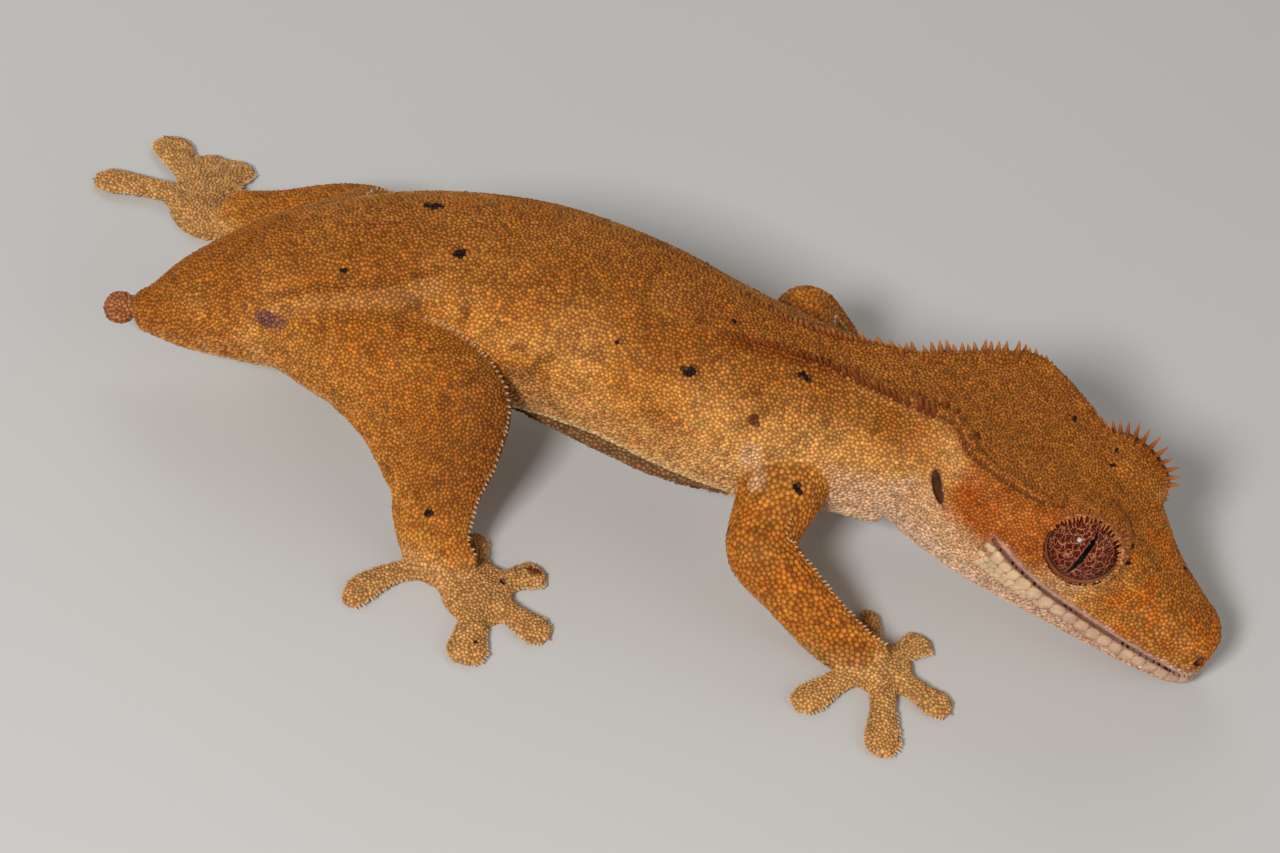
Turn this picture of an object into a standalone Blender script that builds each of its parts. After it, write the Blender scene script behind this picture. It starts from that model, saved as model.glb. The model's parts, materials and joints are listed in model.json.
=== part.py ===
"""Crested gecko, life size, in mid stride with its head turned down and to its right.

The body is lofted from named cross-sections, the limbs and toes from tapered tubes. All of it is
fused into one skin, parted into named nodes with thin cuts, and given its spines, lids, mouth,
ears and nostrils. Lengths in the tables are millimetres; +X is ahead, +Y the animal's left.
"""

import math
import random

import bmesh
import bpy
import numpy as np
from mathutils import Matrix, Vector
from mathutils.bvhtree import BVHTree

# Driving sizes, in millimetres
SNOUT_TO_VENT = 105.0
TABLE_SNOUT_TO_VENT = 105.0
MM = 0.001 * SNOUT_TO_VENT / TABLE_SNOUT_TO_VENT
GAP = 0.3
VOXEL = 0.42
BODY_TRIANGLES = 6500
SMOOTH_ROUNDS = 6

# The head's frame: the point midway between the eyes, and how the head is turned, in degrees
HEAD_CENTRE = (46.9, -4.0, 15.9)
HEAD_YAW = -17.3
HEAD_PITCH = -15.6
HEAD_ROLL = -1.0

# Trunk stations: centre x, y, z; yaw, pitch, roll; half-width; height above and below the centre;
# half-width of the pair of crests
TRUNK = [
    (-51.6, -0.2, 7.2, 4, 16, 0, 2.0, 1.9, 1.9, 0.6),
    (-50.2, -0.1, 7.5, 4, 16, 0, 2.7, 2.5, 2.5, 0.9),
    (-47.4, 0.3, 8.8, 6, 18, 0, 4.5, 4.2, 4.2, 1.5),
    (-44.0, 0.6, 10.4, 8, 18, 2, 6.0, 5.6, 5.6, 2.1),
    (-38.3, 1.4, 12.6, 9, 14, 3, 8.0, 7.6, 7.4, 2.9),
    (-32.5, 2.3, 14.2, 10, 9, 4, 9.0, 8.8, 8.6, 3.3),
    (-24.0, 3.9, 15.6, 8, 5, 4, 10.0, 9.6, 9.8, 3.6),
    (-14.0, 4.9, 16.1, 0, 0, 4, 10.6, 10.0, 10.4, 3.8),
    (-4.0, 3.8, 15.9, -10, -3, 3, 10.6, 10.0, 10.4, 3.8),
    (5.0, 1.6, 15.3, -12, -3, 2, 10.3, 9.8, 10.2, 3.2),
    (12.0, 0.6, 15.0, -6, 0, 0, 10.0, 9.2, 9.9, 2.3),
    (18.5, 0.7, 15.2, 0, 3, 0, 8.9, 8.0, 9.7, 2.2),
    (24.5, 0.7, 15.6, -5, 0, 0, 8.8, 7.2, 10.4, 3.1),
]
# A trunk section's lower corner, as shares of its half-width and of its depth below the centre
TRUNK_LOW = (0.70, 0.73)

# Head sections, in the head's frame: distance ahead of the eyes; crest, side and low corners as
# half-width and height; height of the middle of the crown and of the chin
HEAD_SECTIONS = [
    (-17.5, 5.9, 2.5, 9.5, -3.6, 7.5, -12.0, 2.6, -14.0),
    (-14.6, 8.2, 2.6, 10.2, -3.8, 8.1, -11.8, 2.5, -13.7),
    (-11.0, 8.2, 2.4, 10.5, -4.4, 8.4, -11.5, 2.7, -13.4),
    (-7.0, 7.1, 2.1, 10.3, -4.8, 8.3, -11.2, 2.7, -13.1),
    (-3.0, 6.1, 2.5, 9.5, -5.0, 7.7, -11.0, 2.7, -12.7),
    (0.0, 5.4, 2.7, 8.8, -5.4, 7.2, -10.8, 2.5, -12.4),
    (4.0, 4.2, 0.9, 7.6, -6.5, 6.4, -10.7, 1.0, -12.0),
    (8.0, 3.3, -1.7, 6.3, -7.3, 5.4, -10.8, -1.3, -11.9),
    (12.0, 2.7, -3.4, 5.0, -7.8, 4.2, -10.9, -2.9, -11.8),
    (15.0, 2.2, -4.4, 3.8, -8.0, 3.1, -10.8, -3.9, -11.6),
    (16.7, 1.3, -5.8, 2.3, -8.1, 1.7, -10.0, -5.5, -10.6),
]
# How far the wall between crest and side stands out of the straight line, in the head's sections
CHEEK_BULGE = 0.5
SPAN_STEPS = 4
RING_STEPS = 4

# Eyes, in the head's frame
EYE_RADIUS = 3.9
EYE_CENTRE = (-0.87, 5.29, -0.4)
EYE_AXIS = (0.16, 0.92, 0.33)
LID_RADIUS = 4.75
LID_OPENING = 3.65

# The mouth line, in the head's frame, on the left side from its corner to the tip of the snout
MOUTH_LINE = [
    (-8.0, 10.2, -3.1),
    (-6.5, 10.1, -3.7),
    (-3.8, 9.6, -4.8),
    (-0.7, 8.9, -5.7),
    (2.8, 7.9, -6.4),
    (5.9, 6.9, -7.1),
    (9.7, 5.7, -7.8),
    (13.2, 4.5, -8.3),
    (15.6, 2.8, -8.9),
    (16.9, 0.0, -9.4),
]
MOUTH_DEPTH = 0.9
MOUTH_WIDTH = 0.4
# Lip plates under the mouth line: how many a side, their size at the corner and at the tip of the
# snout (half-length, half-height, thickness), and how far below the line they lie
PLATE_COUNT = 16
PLATE_REAR = (0.88, 0.95, 0.45)
PLATE_FRONT = (0.7, 0.65, 0.35)
PLATE_DROP = 1.1
NOSTRIL = (15.7, 2.6, -6.5)
NOSTRIL_RADIUS = 0.6
EAR = (-15.3, 9.7, -2.3)
EAR_SIZE = (0.45, 1.0, 1.75)
EAR_LEAN = -50.0

# Limbs as centre points with two half-widths: across the limb, and through it
ARM_RIGHT = [
    (15.5, -3.5, 13.4, 4.8, 4.8),
    (14.9, -8.5, 12.0, 4.3, 4.2),
    (14.2, -12.0, 10.3, 3.7, 3.6),
    (14.6, -14.4, 8.9, 3.5, 3.4),
    (18.0, -16.0, 6.9, 3.2, 2.8),
    (22.2, -17.3, 4.1, 3.1, 2.2),
    (25.4, -17.7, 2.2, 2.9, 1.6),
    (27.8, -17.6, 1.3, 2.6, 1.1),
]
ARM_LEFT = [
    (15.5, 3.5, 13.0, 4.8, 4.8),
    (14.6, 9.0, 13.4, 4.2, 4.2),
    (13.6, 13.2, 14.0, 3.5, 3.5),
    (13.9, 16.0, 13.4, 3.4, 3.4),
    (16.2, 18.0, 9.8, 3.4, 3.0),
    (18.8, 19.6, 5.6, 3.2, 2.4),
    (21.0, 20.4, 2.4, 3.0, 1.9),
]
LEG_RIGHT = [
    (-34.0, -1.0, 13.0, 6.6, 6.4),
    (-28.5, -4.4, 13.2, 6.2, 5.6),
    (-21.5, -7.0, 13.8, 5.6, 4.6),
    (-17.2, -8.9, 13.4, 4.9, 4.0),
    (-17.4, -12.0, 10.2, 5.4, 3.2),
    (-17.7, -15.9, 6.2, 4.5, 2.7),
    (-16.4, -18.6, 2.9, 3.6, 1.9),
    (-14.0, -19.8, 1.4, 3.2, 1.2),
]
# The fold of skin behind the right knee
WEB_RIGHT = [
    (-30.0, -6.0, 10.0, 2.4, 2.8),
    (-25.0, -9.4, 8.4, 2.0, 2.0),
    (-20.8, -14.0, 6.6, 2.0, 1.9),
]
LEG_LEFT = [
    (-34.0, 5.0, 13.0, 6.4, 6.4),
    (-34.0, 11.6, 11.2, 5.2, 5.2),
    (-33.0, 17.4, 9.0, 4.3, 4.3),
    (-32.4, 21.2, 7.4, 3.7, 3.7),
    (-36.2, 22.0, 6.0, 3.7, 3.1),
    (-41.6, 21.4, 4.2, 3.5, 2.6),
    (-46.4, 22.0, 2.5, 3.3, 2.1),
]

# Feet: palm centre, palm half-length and half-width, heading of the palm in degrees, and the toes
# from the first to the fifth as heading in degrees, length from the palm's centre, bend, and
# share of the usual width
HAND_RIGHT = (
    (28.5, -17.4), (3.6, 3.3), -12,
    [
        (107, 7.7, 4, 0.55), (51, 6.8, -4, 0.9), (-26, 8.4, 4, 0.95), (-82, 11.5, -4, 1.0),
        (-132, 10.8, 12, 0.95),
    ],
)
HAND_LEFT = (
    (22.6, 20.9), (3.8, 3.4), 25,
    [
        (-62, 6.4, 0, 0.6), (-14, 8.8, 4, 0.9), (18, 9.4, 0, 1.0), (52, 9.0, -4, 1.0),
        (120, 8.0, -15, 0.9),
    ],
)
FOOT_RIGHT = (
    (-11.5, -20.6), (4.4, 3.7), -70,
    [
        (103, 7.9, 5, 0.65), (38, 7.5, -6, 0.95), (-26, 8.7, 4, 1.0), (-87, 9.7, -4, 1.1),
        (-153, 13.0, 56, 0.85),
    ],
)
FOOT_LEFT = (
    (-50.2, 24.6), (4.8, 3.9), 120,
    [
        (38, 5.6, 0, 0.9), (74, 8.8, -4, 1.0), (97, 8.6, 0, 1.0), (126, 11.9, 4, 1.15),
        (179, 12.2, 12, 1.0),
    ],
)
PALM_HEIGHT = 2.1
# A toe's half-width and half-thickness at shares of its length
TOE_PROFILE = [
    (0.0, 1.9, 1.1),
    (0.35, 1.45, 1.0),
    (0.58, 1.55, 0.9),
    (0.80, 1.95, 0.8),
    (0.93, 1.65, 0.66),
    (1.0, 0.8, 0.4),
]
TOE_SINK = 0.18
CLAW_LENGTH = 0.7
CLAW_RADIUS = 0.3

# Thin cuts that part the fused body: centre, direction across the cut, radius of the cutter
CUTS = {
    "bulb": ((-52.3, -0.2, 7.0), (1, 0.07, 0.25), 4.0),
    "tail": ((-42.6, 0.8, 11.0), (1, 0.14, 0.30), 12.0),
    "neck_back": ((18.0, 0.0, 15.2), (1, 0.0, 0.05), 14.0),
    "neck_front": ((29.2, 1.0, 14.0), (0.93, -0.25, -0.14), 15.0),
    "shoulder_right": ((14.3, -10.9, 11.2), (-0.1, -0.95, -0.30), 6.2),
    "elbow_right": ((14.9, -14.2, 8.8), (0.37, -0.76, -0.54), 6.5),
    "wrist_right": ((24.0, -19.1, 3.0), (0.86, -0.2, -0.46), 5.5),
    "shoulder_left": ((14.0, 12.3, 14.2), (-0.1, 1.0, 0.12), 6.5),
    "elbow_left": ((14.7, 17.0, 13.2), (0.42, 0.36, -0.83), 5.4),
    "wrist_left": ((20.0, 20.1, 4.0), (0.50, 0.22, -0.84), 5.5),
    "hip_right": ((-23.5, -7.7, 13.0), (0.06, -1.0, 0.0), 13.0),
    "knee_right": ((-17.6, -11.2, 11.0), (0.35, -0.68, -0.64), 10.0),
    "ankle_right": ((-17.2, -17.6, 4.5), (0.1, -0.72, -0.69), 6.0),
    "hip_left": ((-33.8, 13.2, 11.3), (0.05, 0.96, -0.26), 7.6),
    "knee_left": ((-33.6, 21.8, 7.6), (-0.66, 0.60, -0.45), 8.0),
    "ankle_left": ((-44.4, 22.9, 3.4), (-0.90, 0.0, -0.42), 5.6),
}

# A point inside each node of the parted body, and the node's colour
NODE_POINTS = {
    "tail_bulb": (-53.6, -0.3, 6.8),
    "tail": (-46.5, 0.4, 9.2),
    "torso": (-8.0, 3.5, 16.0),
    "neck": (24.0, 0.2, 15.8),
    "head": (44.0, -2.0, 13.0),
    "arm_right": (13.6, -13.4, 10.0),
    "forearm_right": (19.5, -17.9, 5.6),
    "hand_right": (28.6, -20.2, 1.0),
    "arm_left": (13.6, 14.4, 15.2),
    "forearm_left": (17.4, 18.8, 8.4),
    "hand_left": (22.9, 21.3, 1.0),
    "thigh_right": (-20.8, -10.0, 13.4),
    "shin_right": (-16.7, -14.6, 8.0),
    "foot_right": (-12.9, -21.9, 1.0),
    "thigh_left": (-33.2, 18.6, 9.8),
    "shin_left": (-39.6, 23.1, 5.6),
    "foot_left": (-48.9, 24.8, 1.0),
}
SKIN_COLOUR = (0.50, 0.27, 0.10)
BULB_COLOUR = (0.52, 0.28, 0.17)
EYE_COLOUR = (0.16, 0.05, 0.04)

BULB_CENTRE = (-53.4, -0.3, 6.9)
BULB_RADIUS = 1.75

# Spines of the crest
SPINE_SIDES = 5
SPINE_SINK = 0.55
LASH_COUNT = 11
LASH_ARC = (28.0, 158.0)
LASH_LENGTH = 2.0
CREST_RIDGE = 0.75


def clear_scene():
    for obj in list(bpy.data.objects):
        bpy.data.objects.remove(obj, do_unlink=True)


def smooth_rows(rows, steps, closed=False):
    """Rows along a Catmull-Rom curve through the given rows, steps to each span."""
    rows = np.asarray(rows, float)
    if closed:
        padded = np.vstack([rows[-1], rows, rows[0], rows[1]])
    else:
        padded = np.vstack([2 * rows[0] - rows[1], rows, 2 * rows[-1] - rows[-2]])
    made = []
    for i in range(len(padded) - 3):
        p0, p1, p2, p3 = padded[i : i + 4]
        for t in np.arange(steps) / steps:
            bend = (-p0 + 3 * p1 - 3 * p2 + p3) * t**3
            curve = (2 * p0 - 5 * p1 + 4 * p2 - p3) * t**2
            made.append(0.5 * (2 * p1 + (p2 - p0) * t + curve + bend))
    if not closed:
        made.append(rows[-1])
    return np.array(made)


def turned_frame(yaw, pitch, roll):
    """Columns are the ahead, left and up directions of a frame turned by these degrees."""
    turn = Matrix.Rotation(math.radians(yaw), 3, "Z")
    turn = turn @ Matrix.Rotation(math.radians(-pitch), 3, "Y")
    return np.array(turn @ Matrix.Rotation(math.radians(roll), 3, "X"))


HEAD_FRAME = turned_frame(HEAD_YAW, HEAD_PITCH, HEAD_ROLL)


def head_point(point, side=1):
    """A point of the head's frame, in the body's frame; side -1 is the right side."""
    x, y, z = point
    return np.array(HEAD_CENTRE) + HEAD_FRAME @ np.array([x, side * y, z])


def head_direction(direction, side=1):
    x, y, z = direction
    return HEAD_FRAME @ np.array([x, side * y, z])


def trunk_corners(width, above, below, crest):
    """An oval section's crest, upper, side and low corners, then its top and bottom."""
    rise = above * math.sqrt(1 - (crest / width) ** 2)
    low = (TRUNK_LOW[0] * width, -TRUNK_LOW[1] * below)
    return (crest, rise, 0.84 * width, 0.55 * above, width, 0.0, *low, above, -below)


def head_corners(crest_w, crest_z, side_w, side_z, low_w, low_z, top, bottom):
    """The same corners of a section of the head."""
    run, rise = crest_w - side_w, crest_z - side_z
    bulge = CHEEK_BULGE / math.hypot(run, rise)
    upper_w = (crest_w + side_w) / 2 + rise * bulge
    upper_z = (crest_z + side_z) / 2 - run * bulge
    return (crest_w, crest_z, upper_w, upper_z, side_w, side_z, low_w, low_z, top, bottom)


def body_stations():
    """Every trunk and head section as one row: centre, yaw, pitch, roll, then the corners."""
    rows = [(*row[:6], *trunk_corners(*row[6:])) for row in TRUNK]
    for ahead, *corners in HEAD_SECTIONS:
        centre = head_point((ahead, 0, 0))
        rows.append((*centre, HEAD_YAW, HEAD_PITCH, HEAD_ROLL, *head_corners(*corners)))
    return smooth_rows(rows, SPAN_STEPS)


def section_ring(station):
    """The closed outline of one body section."""
    corners = station[6:14].reshape(4, 2)
    top, bottom = station[14:]
    right = corners[::-1] * [-1, 1]
    outline = smooth_rows([(0, top), *corners, (0, bottom), *right], RING_STEPS, closed=True)
    frame = turned_frame(*station[3:6])
    return station[:3] + outline[:, :1] * frame[:, 1] + outline[:, 1:] * frame[:, 2]


def loft_into(bm, rings):
    """Adds a closed tube through rings of equal count, with a fan over each end."""
    rows = [[bm.verts.new(Vector(p) * MM) for p in ring] for ring in rings]
    count = len(rows[0])
    for first, second in zip(rows, rows[1:]):
        for i in range(count):
            j = (i + 1) % count
            bm.faces.new((first[i], first[j], second[j], second[i]))
    for row, step in ((rows[0], -1), (rows[-1], 1)):
        middle = bm.verts.new(sum((v.co for v in row), Vector()) / count)
        for i in range(count):
            j = (i + 1) % count
            pair = (row[i], row[j]) if step > 0 else (row[j], row[i])
            bm.faces.new((*pair, middle))


def tube_rings(rows, across, count=16):
    """Oval rings along rows of x, y, z, half-width, half-thickness; across points to the side."""
    centres = rows[:, :3]
    ahead = np.gradient(centres, axis=0)
    rings = []
    for centre, forward, (width, thick) in zip(centres, ahead, rows[:, 3:5]):
        forward = forward / np.linalg.norm(forward)
        side = np.array(across, float)
        side = side - forward * (side @ forward)
        side /= np.linalg.norm(side)
        up = np.cross(forward, side)
        turn = np.linspace(0, 2 * math.pi, count, endpoint=False)[:, None]
        rings.append(centre + width * np.cos(turn) * side + thick * np.sin(turn) * up)
    return rings


def rounded_ends(rows):
    """The rows with a short dome of shrinking rows added at both ends."""
    rows = np.asarray(rows, float)
    caps = []
    for end, inner in ((rows[0], rows[1]), (rows[-1], rows[-2])):
        away = end[:3] - inner[:3]
        away /= np.linalg.norm(away)
        reach = min(end[3], end[4])
        cap = []
        for angle in (30, 60, 82):
            turn = math.radians(angle)
            centre = end[:3] + away * reach * math.sin(turn)
            cap.append([*centre, end[3] * math.cos(turn), end[4] * math.cos(turn)])
        caps.append(cap)
    return np.vstack([caps[0][::-1], rows, caps[1]])


def add_limb(bm, points, across):
    loft_into(bm, tube_rings(rounded_ends(smooth_rows(points, 4)), across))


def add_ellipsoid(bm, centre, radii, frame=None, segments=24):
    """A squashed sphere whose three radii lie along the columns of frame."""
    axes = np.eye(3) if frame is None else np.asarray(frame)
    matrix = Matrix(axes @ np.diag(radii) * MM).to_4x4()
    matrix.translation = Vector(centre) * MM
    bmesh.ops.create_uvsphere(
        bm, u_segments=segments, v_segments=segments // 2, radius=1.0, matrix=matrix
    )


def toe_rows(palm, heading, length, bend, spread):
    """A toe's rows on the floor, from the palm's centre, turning by bend on each side of heading."""
    fine = np.linspace(0, 1, 33)
    turn = np.radians(heading - bend + 2 * bend * fine)
    steps = np.column_stack([np.cos(turn), np.sin(turn)])
    path = np.vstack([[0, 0], np.cumsum((steps[1:] + steps[:-1]) / 2, axis=0)])
    path *= length / np.linalg.norm(path[-1])
    rows = []
    for share, width, thick in TOE_PROFILE:
        x, y = (palm[k] + np.interp(share, fine, path[:, k]) for k in (0, 1))
        rows.append((x, y, thick - TOE_SINK, width * spread, thick))
    return np.array(rows)


def add_foot(bm, palm, size, heading, toes):
    frame = turned_frame(heading, 0, 0)
    add_ellipsoid(bm, (*palm, 0.2), (*size, PALM_HEIGHT), frame)
    for toe in toes:
        rows = smooth_rows(toe_rows(palm, *toe), 3)
        ahead = rows[-1] - rows[0]
        loft_into(bm, tube_rings(rows, (-ahead[1], ahead[0], 0), 12))


def add_crest_ridges(bm, stations):
    """A low fold along each crest, from behind the eye to the shoulder."""
    ahead = [s for s in stations if 14.0 < s[0] < HEAD_CENTRE[0] - 3.0]
    for side in (-1, 1):
        rows = []
        for i, station in enumerate(ahead):
            frame = turned_frame(*station[3:6])
            crest = station[:3] + side * station[6] * frame[:, 1] + station[7] * frame[:, 2]
            taper = min(1.0, 0.35 + 0.65 * i / 5, 0.35 + 0.65 * (len(ahead) - 1 - i) / 5)
            rows.append((*crest, CREST_RIDGE * taper, CREST_RIDGE * 1.2 * taper))
        loft_into(bm, tube_rings(np.array(rows), (0, 1, 0), 10))


def add_orbits(bm):
    """The swelling of the lids round each eye."""
    for side in (-1, 1):
        add_ellipsoid(bm, head_point(EYE_CENTRE, side), (LID_RADIUS,) * 3, HEAD_FRAME)


def object_from(bm, name, collection):
    mesh = bpy.data.meshes.new(name)
    bmesh.ops.recalc_face_normals(bm, faces=bm.faces)
    bm.to_mesh(mesh)
    bm.free()
    obj = bpy.data.objects.new(name, mesh)
    collection.objects.link(obj)
    return obj


def apply_modifiers(obj):
    """Replaces the object's mesh with the one that its modifiers make."""
    graph = bpy.context.evaluated_depsgraph_get()
    made = bpy.data.meshes.new_from_object(obj.evaluated_get(graph))
    obj.modifiers.clear()
    obj.data = made


def fused_body(collection):
    """Trunk, head, limbs and feet as one closed skin, flat where the feet meet the floor."""
    stations = body_stations()
    bm = bmesh.new()
    loft_into(bm, [section_ring(s) for s in stations])
    add_ellipsoid(bm, BULB_CENTRE, (BULB_RADIUS,) * 3)
    add_crest_ridges(bm, stations)
    add_orbits(bm)
    add_limb(bm, ARM_RIGHT, (0.5, 0.2, 0.85))
    add_limb(bm, ARM_LEFT, (0.8, -0.3, 0.5))
    add_limb(bm, LEG_RIGHT, (0.75, 0.1, 0.65))
    add_limb(bm, WEB_RIGHT, (0.5, 0.6, 0.6))
    add_limb(bm, LEG_LEFT, (0.2, 0.9, 0.4))
    for foot in (HAND_RIGHT, HAND_LEFT, FOOT_RIGHT, FOOT_LEFT):
        add_foot(bm, *foot)
    body = object_from(bm, "body", collection)
    remesh = body.modifiers.new("fuse", "REMESH")
    remesh.mode = "VOXEL"
    remesh.voxel_size = VOXEL * MM
    smooth = body.modifiers.new("smooth", "SMOOTH")
    smooth.factor = 0.5
    smooth.iterations = SMOOTH_ROUNDS
    apply_modifiers(body)
    thin = body.modifiers.new("thin", "DECIMATE")
    faces = sum(len(p.vertices) - 2 for p in body.data.polygons)
    thin.ratio = BODY_TRIANGLES / faces
    apply_modifiers(body)
    for vertex in body.data.vertices:
        vertex.co.z = max(vertex.co.z, 0.0)
    return body, stations


def aimed(direction):
    """A rotation whose local Z runs along direction."""
    return Vector(direction).normalized().to_track_quat("Z", "Y").to_matrix().to_4x4()


def add_disc(bm, centre, direction, radius, thickness):
    matrix = Matrix.Translation(Vector(centre) * MM) @ aimed(direction)
    bmesh.ops.create_cone(
        bm, cap_ends=True, segments=24, radius1=radius * MM, radius2=radius * MM,
        depth=thickness * MM, matrix=matrix,
    )


def cutter(name, collection, bm):
    obj = object_from(bm, name, collection)
    obj.hide_render = True
    obj.display_type = "WIRE"
    return obj


def boolean(obj, operation, collection, solver="MANIFOLD"):
    """Applies one Boolean of a collection of closed meshes, which are then removed."""
    step = obj.modifiers.new(operation.lower(), "BOOLEAN")
    step.operation = operation
    step.operand_type = "COLLECTION"
    step.collection = collection
    step.solver = solver
    apply_modifiers(obj)
    for other in list(collection.objects):
        bpy.data.objects.remove(other, do_unlink=True)


def surfaces(mesh):
    """The mesh's separate closed surfaces, each as a list of face indices."""
    owner = np.arange(len(mesh.vertices))

    def root(i):
        while owner[i] != i:
            owner[i] = owner[owner[i]]
            i = owner[i]
        return i

    for edge in mesh.edges:
        first, second = (root(i) for i in edge.vertices)
        owner[first] = second
    found = {}
    for face in mesh.polygons:
        found.setdefault(root(face.vertices[0]), []).append(face.index)
    return list(found.values())


def mesh_of_faces(mesh, faces, name):
    """A new mesh of some faces of another."""
    keep = set(faces)
    bm = bmesh.new()
    bm.from_mesh(mesh)
    bm.faces.ensure_lookup_table()
    lost = [f for f in bm.faces if f.index not in keep]
    bmesh.ops.delete(bm, geom=lost, context="FACES")
    made = bpy.data.meshes.new(name)
    bm.to_mesh(made)
    bm.free()
    return made


def keep_largest(obj):
    """Keeps the largest closed surface, dropping scraps and sealed hollows."""
    faces = max(surfaces(obj.data), key=len)
    obj.data = mesh_of_faces(obj.data, faces, obj.name)




def part_body(body, collection, cutters):
    """Cuts the fused body into its nodes and names each by the point that lies nearest."""
    for name, (centre, direction, radius) in CUTS.items():
        bm = bmesh.new()
        add_disc(bm, centre, direction, radius, GAP)
        cutter("cut_" + name, cutters, bm)
    boolean(body, "DIFFERENCE", cutters)
    mesh = body.data
    pieces = {}
    for faces in sorted(surfaces(mesh), key=len, reverse=True)[: len(NODE_POINTS)]:
        corners = np.array([mesh.polygons[f].center for f in faces]) / MM
        middle = (corners.min(0) + corners.max(0)) / 2
        name = min(NODE_POINTS, key=lambda n: np.linalg.norm(middle - NODE_POINTS[n]))
        pieces[name] = faces
    nodes = {}
    for name, faces in pieces.items():
        obj = bpy.data.objects.new(name, mesh_of_faces(mesh, faces, name))
        collection.objects.link(obj)
        nodes[name] = obj
    bpy.data.objects.remove(body, do_unlink=True)
    return nodes


def add_spine(bm, root, direction, length, radius, lean=(0, 0, 0)):
    """A tapered spine that bends a little towards lean, with its root sunk in the skin."""
    axis = Vector(direction).normalized()
    side = axis.orthogonal().normalized()
    other = axis.cross(side)
    bend = Vector(lean) * length
    levels = [(-SPINE_SINK, 1.0), (0.45 * length, 0.62)]
    rings = []
    for height, share in levels:
        centre = Vector(root) + axis * height + bend * max(0.0, height / length) ** 2
        ring = []
        for i in range(SPINE_SIDES):
            turn = 2 * math.pi * i / SPINE_SIDES
            spoke = (side * math.cos(turn) + other * math.sin(turn)) * radius * share
            ring.append(bm.verts.new((centre + spoke) * MM))
        rings.append(ring)
    tip = bm.verts.new((Vector(root) + axis * length + bend) * MM)
    for i in range(SPINE_SIDES):
        j = (i + 1) % SPINE_SIDES
        bm.faces.new((rings[0][i], rings[0][j], rings[1][j], rings[1][i]))
        bm.faces.new((rings[1][i], rings[1][j], tip))
    bm.faces.new(list(reversed(rings[0])))


def spine_object(collection, name, *spine):
    bm = bmesh.new()
    add_spine(bm, *spine)
    cutter(name, collection, bm)


def crest_spines(stations):
    """Root, direction, length and radius of each crest spine, from behind the eye to the back."""
    draw = random.Random(7)
    path = [s for s in stations if 3.0 < s[0] < HEAD_CENTRE[0] - 3.5][::-1]
    spines = []
    for side in (-1, 1):
        points, outs = [], []
        for station in path:
            frame = turned_frame(*station[3:6])
            crest = station[:3] + side * station[6] * frame[:, 1] + station[7] * frame[:, 2]
            points.append(crest)
            outs.append(frame[:, 2] + side * 0.45 * frame[:, 1])
        points, outs = np.array(points), np.array(outs)
        along = np.concatenate([[0], np.cumsum(np.linalg.norm(np.diff(points, axis=0), axis=1))])
        place = 1.0
        while place < along[-1]:
            x, y, z = (np.interp(place, along, points[:, k]) for k in range(3))
            out = [np.interp(place, along, outs[:, k]) for k in range(3)]
            length = crest_length(x) * draw.uniform(0.8, 1.15)
            spines.append(((x, y, z), out, length, 0.26 + 0.16 * length))
            place += 0.75 + 0.28 * length + draw.uniform(-0.06, 0.06)
    return spines


def crest_length(x):
    """The usual length of a crest spine at a distance along the body."""
    places = [-2.0, 8.0, 16.0, 22.0, 27.0, 31.0, 33.5, 35.5, 38.0, 44.2]
    lengths = [0.45, 0.6, 0.9, 1.4, 1.5, 1.5, 1.6, 1.0, 0.5, 0.45]
    return float(np.interp(x, places, lengths))


def lash_spines():
    """Root, direction, length and radius of the spines over each eye."""
    spines = []
    axis = np.array(EYE_AXIS) / np.linalg.norm(EYE_AXIS)
    ahead = np.array([1.0, 0, 0]) - axis * axis[0]
    ahead /= np.linalg.norm(ahead)
    up = np.cross(ahead, axis)
    for side in (-1, 1):
        for i in range(LASH_COUNT):
            share = i / (LASH_COUNT - 1)
            turn = math.radians(LASH_ARC[0] + (LASH_ARC[1] - LASH_ARC[0]) * share)
            spoke = ahead * math.cos(turn) + up * math.sin(turn)
            root = np.array(EYE_CENTRE) + (0.87 * spoke + 0.49 * axis) * (LID_RADIUS - 0.1)
            out = spoke + 0.4 * axis
            length = LASH_LENGTH * (0.62 + 0.38 * math.sin(math.pi * share))
            spines.append((head_point(root, side), head_direction(out, side), length, 0.42))
    return spines


def on_surface(tree, point):
    """The nearest point of a mesh, in millimetres."""
    return tree.find_nearest(Vector(point) * MM)[0] / MM


def tree_of(obj):
    return BVHTree.FromObject(obj, bpy.context.evaluated_depsgraph_get())


def grow_spines(nodes, stations, cutters):
    """Fuses each spine with the node under its root, clear of the thin cuts."""
    bpy.context.view_layer.update()
    trees = {name: tree_of(nodes[name]) for name in ("head", "neck", "torso")}
    found = {name: [] for name in trees}
    for root, out, length, radius in crest_spines(stations):
        near = {n: (Vector(root) - on_surface(t, root)).length for n, t in trees.items()}
        name = min(near, key=near.get)
        others = [d for n, d in near.items() if n != name]
        if min(others) > radius + 2 * GAP:
            found[name].append((on_surface(trees[name], root), out, length, radius))
    found["head"] += lash_spines()
    for name, spines in found.items():
        for i, spine in enumerate(spines):
            spine_object(cutters, f"spine_{name}_{i}", *spine)
        boolean(nodes[name], "UNION", cutters)
        keep_largest(nodes[name])


def blade_rings(path):
    """Flat rings along the mouth, which run in through the lips."""
    ahead = np.gradient(path, axis=0)
    rings = []
    for point, forward in zip(path, ahead):
        inward = np.array([forward[1], -forward[0], 0.0])
        inward /= np.linalg.norm(inward)
        if inward @ np.array([point[0] - 4.0, point[1], 0.0]) > 0:
            inward = -inward
        up = np.array([0, 0, MOUTH_WIDTH / 2])
        deep, proud = point + inward * MOUTH_DEPTH, point - inward * 1.6
        corners = (deep - up, proud - up, proud + up, deep + up)
        rings.append([head_point(c) for c in corners])
    return rings


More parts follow.
